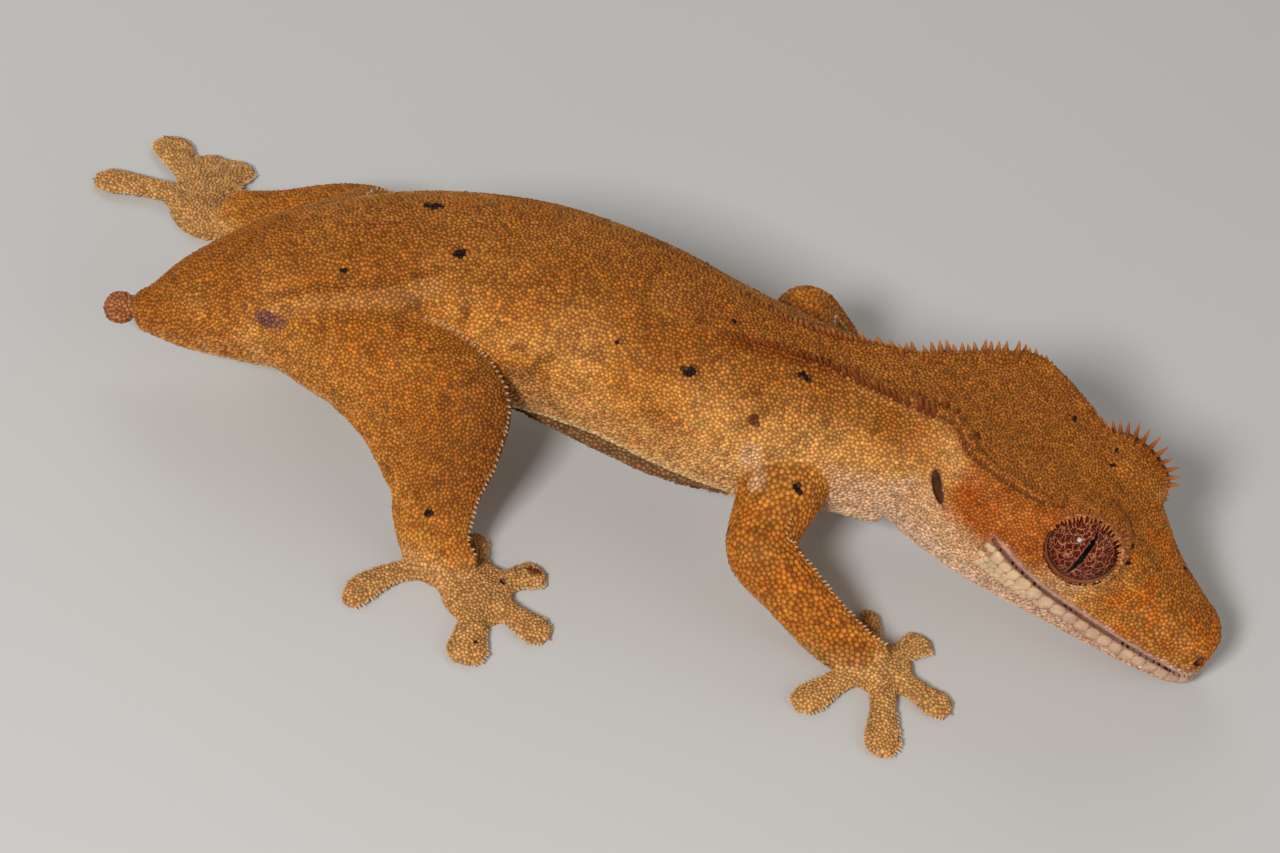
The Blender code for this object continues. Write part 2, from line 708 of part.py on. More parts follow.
def cut_head(head, cutters):
    """The mouth line, nostrils, ears and the openings between the lids."""
    line = np.array(MOUTH_LINE)
    mirrored = line[-2::-1] * [1, -1, 1]
    bm = bmesh.new()
    loft_into(bm, blade_rings(smooth_rows(np.vstack([line, mirrored]), 3)))
    cutter("mouth", cutters, bm)
    for side, word in ((-1, "right"), (1, "left")):
        centre = head_point(EYE_CENTRE, side)
        axis = head_direction(EYE_AXIS, side)
        axis /= np.linalg.norm(axis)
        bm = bmesh.new()
        add_disc(bm, centre + axis * (LID_OPENING + 1.0), axis, LID_OPENING, 2 * LID_OPENING)
        cutter("opening_" + word, cutters, bm)
        bm = bmesh.new()
        add_ellipsoid(bm, head_point(NOSTRIL, side), (NOSTRIL_RADIUS,) * 3, HEAD_FRAME, 8)
        cutter("nostril_" + word, cutters, bm)
        bm = bmesh.new()
        ear_frame = HEAD_FRAME @ turned_frame(0, -EAR_LEAN, 0)
        add_ellipsoid(bm, head_point(EAR, side), EAR_SIZE, ear_frame, 12)
        cutter("ear_" + word, cutters, bm)
    boolean(head, "DIFFERENCE", cutters)
    keep_largest(head)


def add_plates(head, cutters):
    """The row of lip plates under the mouth line."""
    bpy.context.view_layer.update()
    tree = tree_of(head)
    line = smooth_rows(MOUTH_LINE, 6)
    reach = np.concatenate([[0], np.cumsum(np.linalg.norm(np.diff(line, axis=0), axis=1))])
    size = np.array(PLATE_REAR)
    place = -0.2
    for i in range(PLATE_COUNT):
        share = i / (PLATE_COUNT - 1)
        size = np.array(PLATE_REAR) * (1 - share) + np.array(PLATE_FRONT) * share
        place += 0.95 * size[0]
        spot = [np.interp(place, reach, line[:, k]) for k in range(3)]
        beyond = [np.interp(place + 0.2, reach, line[:, k]) for k in range(3)]
        place += 0.95 * size[0]
        for side, word in ((-1, "right"), (1, "left")):
            ahead = head_direction(np.subtract(beyond, spot), side)
            centre = on_surface(tree, head_point((spot[0], spot[1], spot[2] - PLATE_DROP), side))
            out = tree.find_nearest(centre * MM)[1]
            ahead = Vector(ahead) - out * out.dot(Vector(ahead))
            ahead.normalize()
            frame = np.array([ahead, out.cross(ahead), out]).T
            bm = bmesh.new()
            add_ellipsoid(bm, centre, size, frame, 6)
            cutter(f"plate_{word}_{i}", cutters, bm)
    boolean(head, "UNION", cutters)
    keep_largest(head)


def cut_sockets(head, cutters):
    """The hollow round each eye, cut last so that no root of a spine is left in it."""
    for side, word in ((-1, "right"), (1, "left")):
        bm = bmesh.new()
        radii = (EYE_RADIUS + GAP,) * 3
        add_ellipsoid(bm, head_point(EYE_CENTRE, side), radii, HEAD_FRAME, 20)
        cutter("socket_" + word, cutters, bm)
    boolean(head, "DIFFERENCE", cutters)
    keep_largest(head)


def add_claws(nodes, cutters):
    """A short claw at the end of every toe."""
    feet = {
        "hand_right": HAND_RIGHT,
        "hand_left": HAND_LEFT,
        "foot_right": FOOT_RIGHT,
        "foot_left": FOOT_LEFT,
    }
    for name, (palm, _, _, toes) in feet.items():
        for i, toe in enumerate(toes):
            rows = toe_rows(palm, *toe)
            ahead = Vector(rows[-1][:2] - rows[-2][:2]).normalized().to_3d()
            root = Vector((*rows[-1][:2], 0.5)) - 0.35 * ahead
            claw = (root, ahead, CLAW_LENGTH, CLAW_RADIUS, (0, 0, -0.2))
            spine_object(cutters, f"claw_{name}_{i}", *claw)
        boolean(nodes[name], "UNION", cutters)
        keep_largest(nodes[name])


def make_eyes(collection):
    eyes = {}
    for side, word in ((-1, "right"), (1, "left")):
        bm = bmesh.new()
        add_ellipsoid(bm, head_point(EYE_CENTRE, side), (EYE_RADIUS,) * 3, HEAD_FRAME, 20)
        eyes["eye_" + word] = object_from(bm, "eye_" + word, collection)
    return eyes


def material(name, colour, roughness):
    made = bpy.data.materials.new(name)
    made.use_nodes = True
    shader = made.node_tree.nodes["Principled BSDF"]
    shader.inputs["Base Color"].default_value = (*colour, 1.0)
    shader.inputs["Roughness"].default_value = roughness
    shader.inputs["Metallic"].default_value = 0.0
    return made


def finish_nodes(nodes):
    """Smooth shading, materials, and the shift that centres the part over the origin."""
    corners = np.array([v.co for obj in nodes.values() for v in obj.data.vertices])
    middle = (corners.min(0) + corners.max(0)) / 2
    shift = Matrix.Translation((-middle[0], -middle[1], 0.0))
    skin = material("skin", SKIN_COLOUR, 0.7)
    bulb = material("bulb", BULB_COLOUR, 0.6)
    eye = material("eye", EYE_COLOUR, 0.15)
    for name, obj in nodes.items():
        obj.name = name
        obj.data.materials.clear()
        look = eye if name.startswith("eye") else bulb if name == "tail_bulb" else skin
        obj.data.materials.append(look)
        obj.data.shade_smooth()
        obj.data.transform(shift)


def main():
    clear_scene()
    gecko = bpy.data.collections.new("crested_gecko")
    cutters = bpy.data.collections.new("cutters")
    for collection in (gecko, cutters):
        bpy.context.scene.collection.children.link(collection)
    body, stations = fused_body(gecko)
    nodes = part_body(body, gecko, cutters)
    cut_head(nodes["head"], cutters)
    add_plates(nodes["head"], cutters)
    grow_spines(nodes, stations, cutters)
    cut_sockets(nodes["head"], cutters)
    add_claws(nodes, cutters)
    nodes.update(make_eyes(gecko))
    finish_nodes(nodes)


main()
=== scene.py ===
"""The looks of a crested gecko: one skin, its scales, spines, plates and eyes, floor and light.

Lengths in the tables are millimetres in the design frame: +X is ahead, +Y the animal's left.
"""
import json
import math

import bmesh
import bpy
import numpy as np
from mathutils import Matrix, Vector
from mathutils.bvhtree import BVHTree
from mathutils.kdtree import KDTree

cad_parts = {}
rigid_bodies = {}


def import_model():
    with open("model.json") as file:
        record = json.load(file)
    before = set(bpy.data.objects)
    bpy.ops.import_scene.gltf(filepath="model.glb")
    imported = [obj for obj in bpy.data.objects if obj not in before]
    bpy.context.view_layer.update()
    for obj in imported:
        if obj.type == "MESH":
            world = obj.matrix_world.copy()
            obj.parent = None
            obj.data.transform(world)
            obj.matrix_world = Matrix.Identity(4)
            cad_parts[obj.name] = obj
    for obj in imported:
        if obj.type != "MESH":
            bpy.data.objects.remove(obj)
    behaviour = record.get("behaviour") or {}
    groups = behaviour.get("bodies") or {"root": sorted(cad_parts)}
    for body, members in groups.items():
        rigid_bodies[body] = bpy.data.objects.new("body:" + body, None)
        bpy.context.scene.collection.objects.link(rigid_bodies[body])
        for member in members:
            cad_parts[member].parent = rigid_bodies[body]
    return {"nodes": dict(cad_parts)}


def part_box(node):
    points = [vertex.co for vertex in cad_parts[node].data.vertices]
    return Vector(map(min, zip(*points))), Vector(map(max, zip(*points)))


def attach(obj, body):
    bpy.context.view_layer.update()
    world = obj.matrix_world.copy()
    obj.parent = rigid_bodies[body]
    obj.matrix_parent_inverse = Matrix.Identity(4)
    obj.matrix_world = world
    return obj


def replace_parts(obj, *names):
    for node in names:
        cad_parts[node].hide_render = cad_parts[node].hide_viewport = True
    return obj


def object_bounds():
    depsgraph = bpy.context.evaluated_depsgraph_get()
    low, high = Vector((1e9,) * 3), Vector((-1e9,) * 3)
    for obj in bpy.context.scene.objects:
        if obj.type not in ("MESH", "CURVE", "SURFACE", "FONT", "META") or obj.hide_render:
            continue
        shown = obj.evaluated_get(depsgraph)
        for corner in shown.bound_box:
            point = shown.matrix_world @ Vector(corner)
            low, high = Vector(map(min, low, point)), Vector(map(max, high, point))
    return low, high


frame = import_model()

CAD_BOX = [list(corner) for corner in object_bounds()]
SEED = 11
RNG = np.random.default_rng(SEED)

HEAD_CENTRE = (46.9, -4.0, 15.9)
HEAD_YAW = -17.3
HEAD_PITCH = -15.6
HEAD_ROLL = -1.0

# Trunk stations: centre, yaw, pitch, roll; half-width; height above and below; crest half-width
TRUNK = [
    (-51.6, -0.2, 7.2, 4, 16, 0, 2.0, 1.9, 1.9, 0.6),
    (-50.2, -0.1, 7.5, 4, 16, 0, 2.7, 2.5, 2.5, 0.9),
    (-47.4, 0.3, 8.8, 6, 18, 0, 4.5, 4.2, 4.2, 1.5),
    (-44.0, 0.6, 10.4, 8, 18, 2, 6.0, 5.6, 5.6, 2.1),
    (-38.3, 1.4, 12.6, 9, 14, 3, 8.0, 7.6, 7.4, 2.9),
    (-32.5, 2.3, 14.2, 10, 9, 4, 9.0, 8.8, 8.6, 3.3),
    (-24.0, 3.9, 15.6, 8, 5, 4, 10.0, 9.6, 9.8, 3.6),
    (-14.0, 4.9, 16.1, 0, 0, 4, 10.6, 10.0, 10.4, 3.8),
    (-4.0, 3.8, 15.9, -10, -3, 3, 10.6, 10.0, 10.4, 3.8),
    (5.0, 1.6, 15.3, -12, -3, 2, 10.3, 9.8, 10.2, 3.2),
    (12.0, 0.6, 15.0, -6, 0, 0, 10.0, 9.2, 9.9, 2.3),
    (18.5, 0.7, 15.2, 0, 3, 0, 8.9, 8.0, 9.7, 2.2),
    (24.5, 0.7, 15.6, -5, 0, 0, 8.8, 7.2, 10.4, 3.1),
]
TRUNK_LOW = (0.70, 0.73)
# Head sections: ahead; crest, side and low corners as half-width and height; crown and chin
HEAD_SECTIONS = [
    (-17.5, 5.9, 2.5, 9.5, -3.6, 7.5, -12.0, 2.6, -14.0),
    (-14.6, 8.2, 2.6, 10.2, -3.8, 8.1, -11.8, 2.5, -13.7),
    (-11.0, 8.2, 2.4, 10.5, -4.4, 8.4, -11.5, 2.7, -13.4),
    (-7.0, 7.1, 2.1, 10.3, -4.8, 8.3, -11.2, 2.7, -13.1),
    (-3.0, 6.1, 2.5, 9.5, -5.0, 7.7, -11.0, 2.7, -12.7),
    (0.0, 5.4, 2.7, 8.8, -5.4, 7.2, -10.8, 2.5, -12.4),
    (4.0, 4.2, 0.9, 7.6, -6.5, 6.4, -10.7, 1.0, -12.0),
    (8.0, 3.3, -1.7, 6.3, -7.3, 5.4, -10.8, -1.3, -11.9),
    (12.0, 2.7, -3.4, 5.0, -7.8, 4.2, -10.9, -2.9, -11.8),
    (15.0, 2.2, -4.4, 3.8, -8.0, 3.1, -10.8, -3.9, -11.6),
    (16.7, 1.3, -5.8, 2.3, -8.1, 1.7, -10.0, -5.5, -10.6),
]
CHEEK_BULGE = 0.5
SPAN_STEPS = 7
RING_STEPS = 8

EYE_RADIUS = 3.9
EYE_CENTRE = (-0.87, 5.29, -0.4)
EYE_AXIS = (0.16, 0.92, 0.33)
LID_RADIUS = 4.75
# The lids' opening widens outward from the first radius to the second
LID_CONE = (3.46, 4.55)
MOUTH_GAP = 0.28
MOUTH_LINE = [
    (-8.0, 10.2, -3.1), (-6.5, 10.1, -3.7), (-3.8, 9.6, -4.8), (-0.7, 8.9, -5.7),
    (2.8, 7.9, -6.4), (5.9, 6.9, -7.1), (9.7, 5.7, -7.8), (13.2, 4.5, -8.3),
    (15.6, 2.8, -8.9), (16.9, 0.0, -9.4),
]
NOSTRIL = (15.7, 2.6, -6.5)
NOSTRIL_SIZE = (0.55, 0.6, 0.42)
EAR = (-15.3, 9.7, -2.3)
EAR_SIZE = (0.45, 1.0, 1.75)
EAR_LEAN = -50.0

# Limbs as centre points with two half-widths: across the limb, and through it
ARM_RIGHT = [
    (15.5, -3.5, 13.4, 4.8, 4.8), (14.9, -8.5, 12.0, 4.3, 4.2), (14.2, -12.0, 10.3, 3.7, 3.6),
    (14.6, -14.4, 8.9, 3.5, 3.4), (18.0, -16.0, 6.9, 3.2, 2.8), (22.2, -17.3, 4.1, 3.1, 2.2),
    (25.4, -17.7, 2.2, 2.9, 1.6), (27.8, -17.6, 1.3, 2.6, 1.1),
]
ARM_LEFT = [
    (15.5, 3.5, 13.0, 4.8, 4.8), (14.6, 9.0, 13.4, 4.2, 4.2), (13.6, 13.2, 14.0, 3.5, 3.5),
    (13.9, 16.0, 13.4, 3.4, 3.4), (16.2, 18.0, 9.8, 3.4, 3.0), (18.8, 19.6, 5.6, 3.2, 2.4),
    (21.0, 20.4, 2.4, 3.0, 1.9),
]
LEG_RIGHT = [
    (-34.0, -1.0, 13.0, 6.6, 6.4), (-28.5, -4.4, 13.2, 6.2, 5.6), (-21.5, -7.0, 13.8, 5.6, 4.6),
    (-17.2, -8.9, 13.4, 4.9, 4.0), (-17.4, -12.0, 10.2, 5.4, 3.2), (-17.7, -15.9, 6.2, 4.5, 2.7),
    (-16.4, -18.6, 2.9, 3.6, 1.9), (-14.0, -19.8, 1.4, 3.2, 1.2),
]
WEB_RIGHT = [
    (-30.0, -6.0, 10.0, 2.4, 2.8), (-25.0, -9.4, 8.4, 2.0, 2.0), (-20.8, -14.0, 6.6, 2.0, 1.9),
]
LEG_LEFT = [
    (-34.0, 5.0, 13.0, 6.4, 6.4), (-34.0, 11.6, 11.2, 5.2, 5.2), (-33.0, 17.4, 9.0, 4.3, 4.3),
    (-32.4, 21.2, 7.4, 3.7, 3.7), (-36.2, 22.0, 6.0, 3.7, 3.1), (-41.6, 21.4, 4.2, 3.5, 2.6),
    (-46.4, 22.0, 2.5, 3.3, 2.1),
]
LIMBS = {
    "arm_right": (ARM_RIGHT, (0.5, 0.2, 0.85)),
    "arm_left": (ARM_LEFT, (0.8, -0.3, 0.5)),
    "leg_right": (LEG_RIGHT, (0.75, 0.1, 0.65)),
    "web_right": (WEB_RIGHT, (0.5, 0.6, 0.6)),
    "leg_left": (LEG_LEFT, (0.2, 0.9, 0.4)),
}
# Feet: palm centre, half-length and half-width, heading, and toes as heading, length, bend, width
FEET = {
    "hand_right": (
        (28.5, -17.4), (3.6, 3.3), -12,
        [
            (107, 7.7, 4, 0.55), (51, 6.8, -4, 0.9), (-26, 8.4, 4, 0.95), (-82, 11.5, -4, 1.0),
            (-132, 10.8, 12, 0.95),
        ],
    ),
    "hand_left": (
        (22.6, 20.9), (3.8, 3.4), 25,
        [
            (-62, 6.4, 0, 0.6), (-14, 8.8, 4, 0.9), (18, 9.4, 0, 1.0), (52, 9.0, -4, 1.0),
            (120, 8.0, -15, 0.9),
        ],
    ),
    "foot_right": (
        (-11.5, -20.6), (4.4, 3.7), -70,
        [
            (103, 7.9, 5, 0.65), (38, 7.5, -6, 0.95), (-26, 8.7, 4, 1.0), (-87, 9.7, -4, 1.1),
            (-153, 13.0, 56, 0.85),
        ],
    ),
    "foot_left": (
        (-50.2, 24.6), (4.8, 3.9), 120,
        [
            (38, 5.6, 0, 0.9), (74, 8.8, -4, 1.0), (97, 8.6, 0, 1.0), (126, 11.9, 4, 1.15),
            (179, 12.2, 12, 1.0),
        ],
    ),
}
PALM_HEIGHT = 2.1
TOE_PROFILE = [
    (0.0, 1.9, 1.1), (0.35, 1.45, 1.0), (0.58, 1.55, 0.9), (0.80, 1.95, 0.8), (0.93, 1.65, 0.66),
    (1.0, 0.8, 0.4),
]
TOE_SINK = 0.18
BULB_CENTRE = (-53.4, -0.3, 6.9)
BULB_RADIUS = 1.75
CREST_RIDGE = 0.75
FLANK_RIDGE = 0.9

# The skin: voxel and smoothing of the fused forms, and how deep it lies under the coat
VOXEL = 0.30
SMOOTH_ROUNDS = 12
SKIN_DEPTH = 0.13
# The width of one scale's patch on the unwrap, as a share of the whole map
PATCH = 0.0028

# Millimetres between the scales: on the upper side, and how much more there is below
TRUNK_SCALES = (0.385, 0.15)
HEAD_SCALES = (0.345, 0.10)
LIMB_SCALES = (0.375, 0.10)
FOOT_SCALES = (0.37, 0.12)
ARM_SCALES = 0.50
SNOUT_EXTRA = 0.06
TRIES, QUICK_TRIES = 7, 3.5
HEXAGON = 0.866
# How closely scales are strewn, then how far, how strongly and in what steps neighbours push apart
STREWN_REACH = 0.80
PUSH_REACH, PUSH_MOST, PUSH_STEP = 1.12, 0.6, 0.22
NEIGHBOURS = 6
# A scale's length and width, over half of its spacing, and its height and the height's limits
SCALE_LONG, SCALE_WIDE = 1.10, 1.03
SCALE_TALL, TALL_LEAST, TALL_MOST, HEAD_TALL = 0.54, 0.32, 0.85, 0.78
# How far single scales differ: in shade, tint, height, width, and turn in radians
SHADE_SPREAD, TINT_SPREAD, TALL_SPREAD, WIDE_SPREAD, TURN_SPREAD = 0.20, 0.04, 0.11, 0.05, 0.12
# Millimetres between the raised tubercles, and how much wider, taller and browner they are
TUBERCLE_GAP, TUBERCLE_WIDE, TUBERCLE_TALL, TUBERCLE_TINT = 1.25, 0.28, 0.5, 0.62
# The most scales in one piece, by their number of sides
MOST_SIX, MOST_FIVE = 10500, 12500
# The rim of the lids: its ring's radius and place along the eye's axis, and the tube's radius
LID_RING, LID_AHEAD, LID_TUBE = 3.60, 1.84, 0.17
LID_SPINES, LID_SPINE_RING = 26, 3.86
# How much darker the skin is painted under its scales than where it is bare: painted shade in the gaps
# between scales
COAT_GAP_SHADE = 0.54

# Length of the crest's spines along the body, on the side that the camera sees from above and beyond
NEAR_CREST = ([3, 14, 19, 27, 29.5, 44], [0.5, 0.85, 1.3, 1.4, 0.6, 0.4])
FAR_CREST = (
    [-2.0, 8.0, 16.0, 22.0, 27.0, 31.0, 33.5, 35.5, 38.0, 44.2],
    [0.45, 0.6, 0.8, 1.1, 1.2, 1.25, 1.7, 0.9, 0.5, 0.45],
)

# The camera: a point it looks at, its height over the horizon, its roll and its distance
CAMERA_TARGET = (0.0, 0.0, 8.0)
CAMERA_ELEVATION = 43.0
CAMERA_ROLL = 14.0
CAMERA_DISTANCE = 400.0
CAMERA_LENS = 112.5
SENSOR = 36.0
PHOTO_SIZE = (1280, 853)

# Dark marks: where the photo shows them, in its pixels, with length, width and lean in degrees
SPOTS = [
    (434, 206, 11, 6, 10), (461, 254, 6, 5, 0), (344, 271, 3.4, 3.4, 0), (690, 372, 8.5, 7, 0),
    (804, 377, 7.5, 5, 20), (618, 342, 3, 3, 0), (798, 490, 4.5, 5.5, 0),
    (428, 512, 4.5, 4, 0), (1117, 450, 3, 3, 0), (1113, 466, 2.6, 2.6, 0), (1075, 419, 2.6, 2.6, 0),
    (1185, 568, 3.2, 2.6, 0), (503, 583, 3, 3, 0), (476, 642, 3.4, 2.4, 0), (1113, 578, 3.6, 3.2, 0),
    (1128, 563, 4.2, 3.4, 0), (1132, 546, 3.0, 2.6, 0), (1096, 588, 2.6, 2.2, 0), (735, 322, 5, 3, 0),
]
RED_SPOTS = [(754, 420, 6, 6, 0), (533, 570, 7, 5, 0), (978, 436, 5, 5, 0), (500, 500, 3, 3, 0)]
PURPLE_SPOTS = [(270, 320, 18, 9, 5)]

# Folds of the skin, as lines on it in millimetres: along the flank, over the thigh, and behind the arm
FLANK_FOLD = [
    (-16.0, -2.4, 9.6), (-12.5, -3.2, 9.3), (-7.8, -4.2, 9.9), (-1.4, -5.6, 9.9), (5.0, -6.7, 9.2),
    (9.5, -7.4, 8.9),
]
THIGH_FOLD = [
    (-37.5, -4.6, 17.4), (-35.3, -4.5, 18.9), (-30.7, -3.8, 20.7), (-26.1, -2.9, 22.1),
    (-22.6, -1.6, 23.5),
]
ARM_FOLD = [(11.0, -9.0, 16.8), (11.2, -9.3, 15.6), (12.2, -10.2, 14.7), (12.8, -10.6, 13.2)]


def smooth_rows(rows, steps, closed=False):
    """Rows along a Catmull-Rom curve through the given rows, steps to each span."""
    rows = np.asarray(rows, float)
    if closed:
        padded = np.vstack([rows[-1], rows, rows[0], rows[1]])
    else:
        padded = np.vstack([2 * rows[0] - rows[1], rows, 2 * rows[-1] - rows[-2]])
    made = []
    for i in range(len(padded) - 3):
        p0, p1, p2, p3 = padded[i : i + 4]
        for t in np.arange(steps) / steps:
            bend = (-p0 + 3 * p1 - 3 * p2 + p3) * t**3
            curve = (2 * p0 - 5 * p1 + 4 * p2 - p3) * t**2
            made.append(0.5 * (2 * p1 + (p2 - p0) * t + curve + bend))
    if not closed:
        made.append(rows[-1])
    return np.array(made)


FLANK_CLEFT = smooth_rows(np.array(FLANK_FOLD) + [0, 0.5, -1.1], 4)
THIGH_CLEFT = smooth_rows(THIGH_FOLD, 4)
ARM_CLEFT = smooth_rows(ARM_FOLD, 4)


def run_along(path):
    """How far along the path each of its points lies."""
    return np.concatenate([[0], np.cumsum(np.linalg.norm(np.diff(path, axis=0), axis=1))])


def point_at(place, along, path):
    return np.array([np.interp(place, along, path[:, k]) for k in range(3)])


def turned_frame(yaw, pitch, roll):
    """Columns are the ahead, left and up directions of a frame turned by these degrees."""
    turn = Matrix.Rotation(math.radians(yaw), 3, "Z")
    turn = turn @ Matrix.Rotation(math.radians(-pitch), 3, "Y")
    return np.array(turn @ Matrix.Rotation(math.radians(roll), 3, "X"))


HEAD_FRAME = turned_frame(HEAD_YAW, HEAD_PITCH, HEAD_ROLL)


def head_point(point, side=1):
    x, y, z = point
    return np.array(HEAD_CENTRE) + HEAD_FRAME @ np.array([x, side * y, z])


def head_direction(direction, side=1):
    x, y, z = direction
    return HEAD_FRAME @ np.array([x, side * y, z])


def in_head(points):
    """Points in the head's frame."""
    return (points - HEAD_CENTRE) @ HEAD_FRAME


def folded_head(points):
    """Points in the head's frame, with its right side folded over onto its left."""
    ahead, left, up = in_head(points).T
    return np.column_stack([ahead, np.abs(left), up])


def eye_frame(side):
    """The eye's centre, and columns ahead, up and out along its axis."""
    out = head_direction(EYE_AXIS, side)
    out = out / np.linalg.norm(out)
    ahead = HEAD_FRAME[:, 0] - out * (HEAD_FRAME[:, 0] @ out)
    ahead /= np.linalg.norm(ahead)
    up = np.cross(out, ahead) * (-side)
    if up @ HEAD_FRAME[:, 2] < 0:
        up = -up
    return head_point(EYE_CENTRE, side), np.array([ahead, up, out]).T


def spoke_at(axes, turn):
    """The direction across the eye's axis at this turn from ahead."""
    return axes[:, 0] * math.cos(turn) + axes[:, 1] * math.sin(turn)


low, high = (np.array(corner) * 1000 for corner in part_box("eye_right"))
SHIFT = (low + high) / 2 - head_point(EYE_CENTRE, -1)
BOX_LOW, BOX_HIGH = (np.array(corner) * 1000 - SHIFT for corner in CAD_BOX)
BOX_LOW[2] = max(BOX_LOW[2], 0.004)


def to_world(points):
    """Design millimetres to the frame's metres."""
    return (np.asarray(points, float) + SHIFT) / 1000


def smooth_step(low_end, high_end, values):
    t = np.clip((values - low_end) / (high_end - low_end), 0, 1)
    return t * t * (3 - 2 * t)


def unit(vectors):
    return vectors / np.maximum(np.linalg.norm(vectors, axis=-1, keepdims=True), 1e-9)


def lattice(x, y, z, seed):
    h = (x * 374761393 + y * 668265263 + z * 1442695041 + seed * 1013904223) & 0xFFFFFFFF
    h = ((h ^ (h >> 13)) * 1274126177) & 0xFFFFFFFF
    return ((h ^ (h >> 16)) & 0xFFFF) / 65535.0


def noise(points, size, seed):
    """Smooth noise from 0 to 1 with features of this size."""
    place = np.asarray(points, float) / size + 200.0
    cell = np.floor(place).astype(np.int64)
    part = place - cell
    part = part * part * (3 - 2 * part)
    total = np.zeros(len(place))
    for dx in (0, 1):
        for dy in (0, 1):
            for dz in (0, 1):
                weight = np.abs(1 - dx - part[:, 0])
                weight = weight * np.abs(1 - dy - part[:, 1]) * np.abs(1 - dz - part[:, 2])
                cells = lattice(cell[:, 0] + dx, cell[:, 1] + dy, cell[:, 2] + dz, seed)
                total += weight * cells
    return total


def cloud(points, size, seed):
    """Three octaves of noise, from 0 to 1."""
    total = noise(points, size, seed) + 0.5 * noise(points, size / 2.1, seed + 1)
    return (total + 0.25 * noise(points, size / 4.3, seed + 2)) / 1.75


def srgb(red, green, blue):
    share = np.array([red, green, blue]) / 255
    return np.where(share <= 0.04045, share / 12.92, ((share + 0.055) / 1.055) ** 2.4)


def trunk_corners(width, above, below, crest):
    rise = above * math.sqrt(1 - (crest / width) ** 2)
    low_corner = (TRUNK_LOW[0] * width, -TRUNK_LOW[1] * below)
    return (crest, rise, 0.84 * width, 0.55 * above, width, 0.0, *low_corner, above, -below)


def head_corners(crest_w, crest_z, side_w, side_z, low_w, low_z, top, bottom):
    run, rise = crest_w - side_w, crest_z - side_z
    bulge = CHEEK_BULGE / math.hypot(run, rise)
    upper_w = (crest_w + side_w) / 2 + rise * bulge
    upper_z = (crest_z + side_z) / 2 - run * bulge
    return (crest_w, crest_z, upper_w, upper_z, side_w, side_z, low_w, low_z, top, bottom)


def body_stations():
    """Every trunk and head section as one row: centre, yaw, pitch, roll, then the corners."""
    rows = [(*row[:6], *trunk_corners(*row[6:])) for row in TRUNK]
    for ahead, *corners in HEAD_SECTIONS:
        centre = head_point((ahead, 0, 0))
        rows.append((*centre, HEAD_YAW, HEAD_PITCH, HEAD_ROLL, *head_corners(*corners)))
    return smooth_rows(rows, SPAN_STEPS)


STATIONS = body_stations()
STATION_FRAMES = np.array([turned_frame(*s[3:6]) for s in STATIONS])


def section_ring(station):
    corners = station[6:14].reshape(4, 2)
    top, bottom = station[14:]
    right = corners[::-1] * [-1, 1]
    outline = smooth_rows([(0, top), *corners, (0, bottom), *right], RING_STEPS, closed=True)
    turn = turned_frame(*station[3:6])
    return station[:3] + outline[:, :1] * turn[:, 1] + outline[:, 1:] * turn[:, 2]


def loft_into(bm, rings):
    """Adds a closed tube through rings of equal count, with a fan over each end."""
    rows = [[bm.verts.new(Vector(p)) for p in ring] for ring in rings]
    count = len(rows[0])
    for first, second in zip(rows, rows[1:]):
        for i in range(count):
            j = (i + 1) % count
            bm.faces.new((first[i], first[j], second[j], second[i]))
    for row, step in ((rows[0], -1), (rows[-1], 1)):
        middle = bm.verts.new(sum((v.co for v in row), Vector()) / count)
        for i in range(count):
            j = (i + 1) % count
            pair = (row[i], row[j]) if step > 0 else (row[j], row[i])
            bm.faces.new((*pair, middle))


def tube_rings(rows, across, count=24):
    centres = rows[:, :3]
    ahead = np.gradient(centres, axis=0)
    rings = []
    for centre, forward, (width, thick) in zip(centres, ahead, rows[:, 3:5]):
        forward = forward / np.linalg.norm(forward)
        side = np.array(across, float)
        side = side - forward * (side @ forward)
        side /= np.linalg.norm(side)
        up = np.cross(forward, side)
        turn = np.linspace(0, 2 * math.pi, count, endpoint=False)[:, None]
        rings.append(centre + width * np.cos(turn) * side + thick * np.sin(turn) * up)
    return rings


def rounded_ends(rows):
    rows = np.asarray(rows, float)
    caps = []
    for end, inner in ((rows[0], rows[1]), (rows[-1], rows[-2])):
        away = end[:3] - inner[:3]
        away /= np.linalg.norm(away)
        reach = min(end[3], end[4])
        cap = []
        for angle in (30, 60, 82):
            turn = math.radians(angle)
            centre = end[:3] + away * reach * math.sin(turn)
            cap.append([*centre, end[3] * math.cos(turn), end[4] * math.cos(turn)])
        caps.append(cap)
    return np.vstack([caps[0][::-1], rows, caps[1]])


def add_ellipsoid(bm, centre, radii, axes=None, segments=32):
    axes = np.eye(3) if axes is None else np.asarray(axes)
    matrix = Matrix(axes @ np.diag(radii)).to_4x4()
    matrix.translation = Vector(centre)
    bmesh.ops.create_uvsphere(
        bm, u_segments=segments, v_segments=segments // 2, radius=1.0, matrix=matrix
    )


def toe_rows(palm, heading, length, bend, spread):
    fine = np.linspace(0, 1, 33)
    turn = np.radians(heading - bend + 2 * bend * fine)
    steps = np.column_stack([np.cos(turn), np.sin(turn)])
    path = np.vstack([[0, 0], np.cumsum((steps[1:] + steps[:-1]) / 2, axis=0)])
    path *= length / np.linalg.norm(path[-1])
    rows = []
    for share, width, thick in TOE_PROFILE:
        x, y = (palm[k] + np.interp(share, fine, path[:, k]) for k in (0, 1))
        rows.append((x, y, thick - TOE_SINK, width * spread, thick))
    return np.array(rows)


def add_foot(bm, palm, size, heading, toes):
    add_ellipsoid(bm, (*palm, 0.2), (*size, PALM_HEIGHT), turned_frame(heading, 0, 0))
    for toe in toes:
        rows = smooth_rows(toe_rows(palm, *toe), 4)
        ahead = rows[-1] - rows[0]
        loft_into(bm, tube_rings(rows, (-ahead[1], ahead[0], 0), 16))


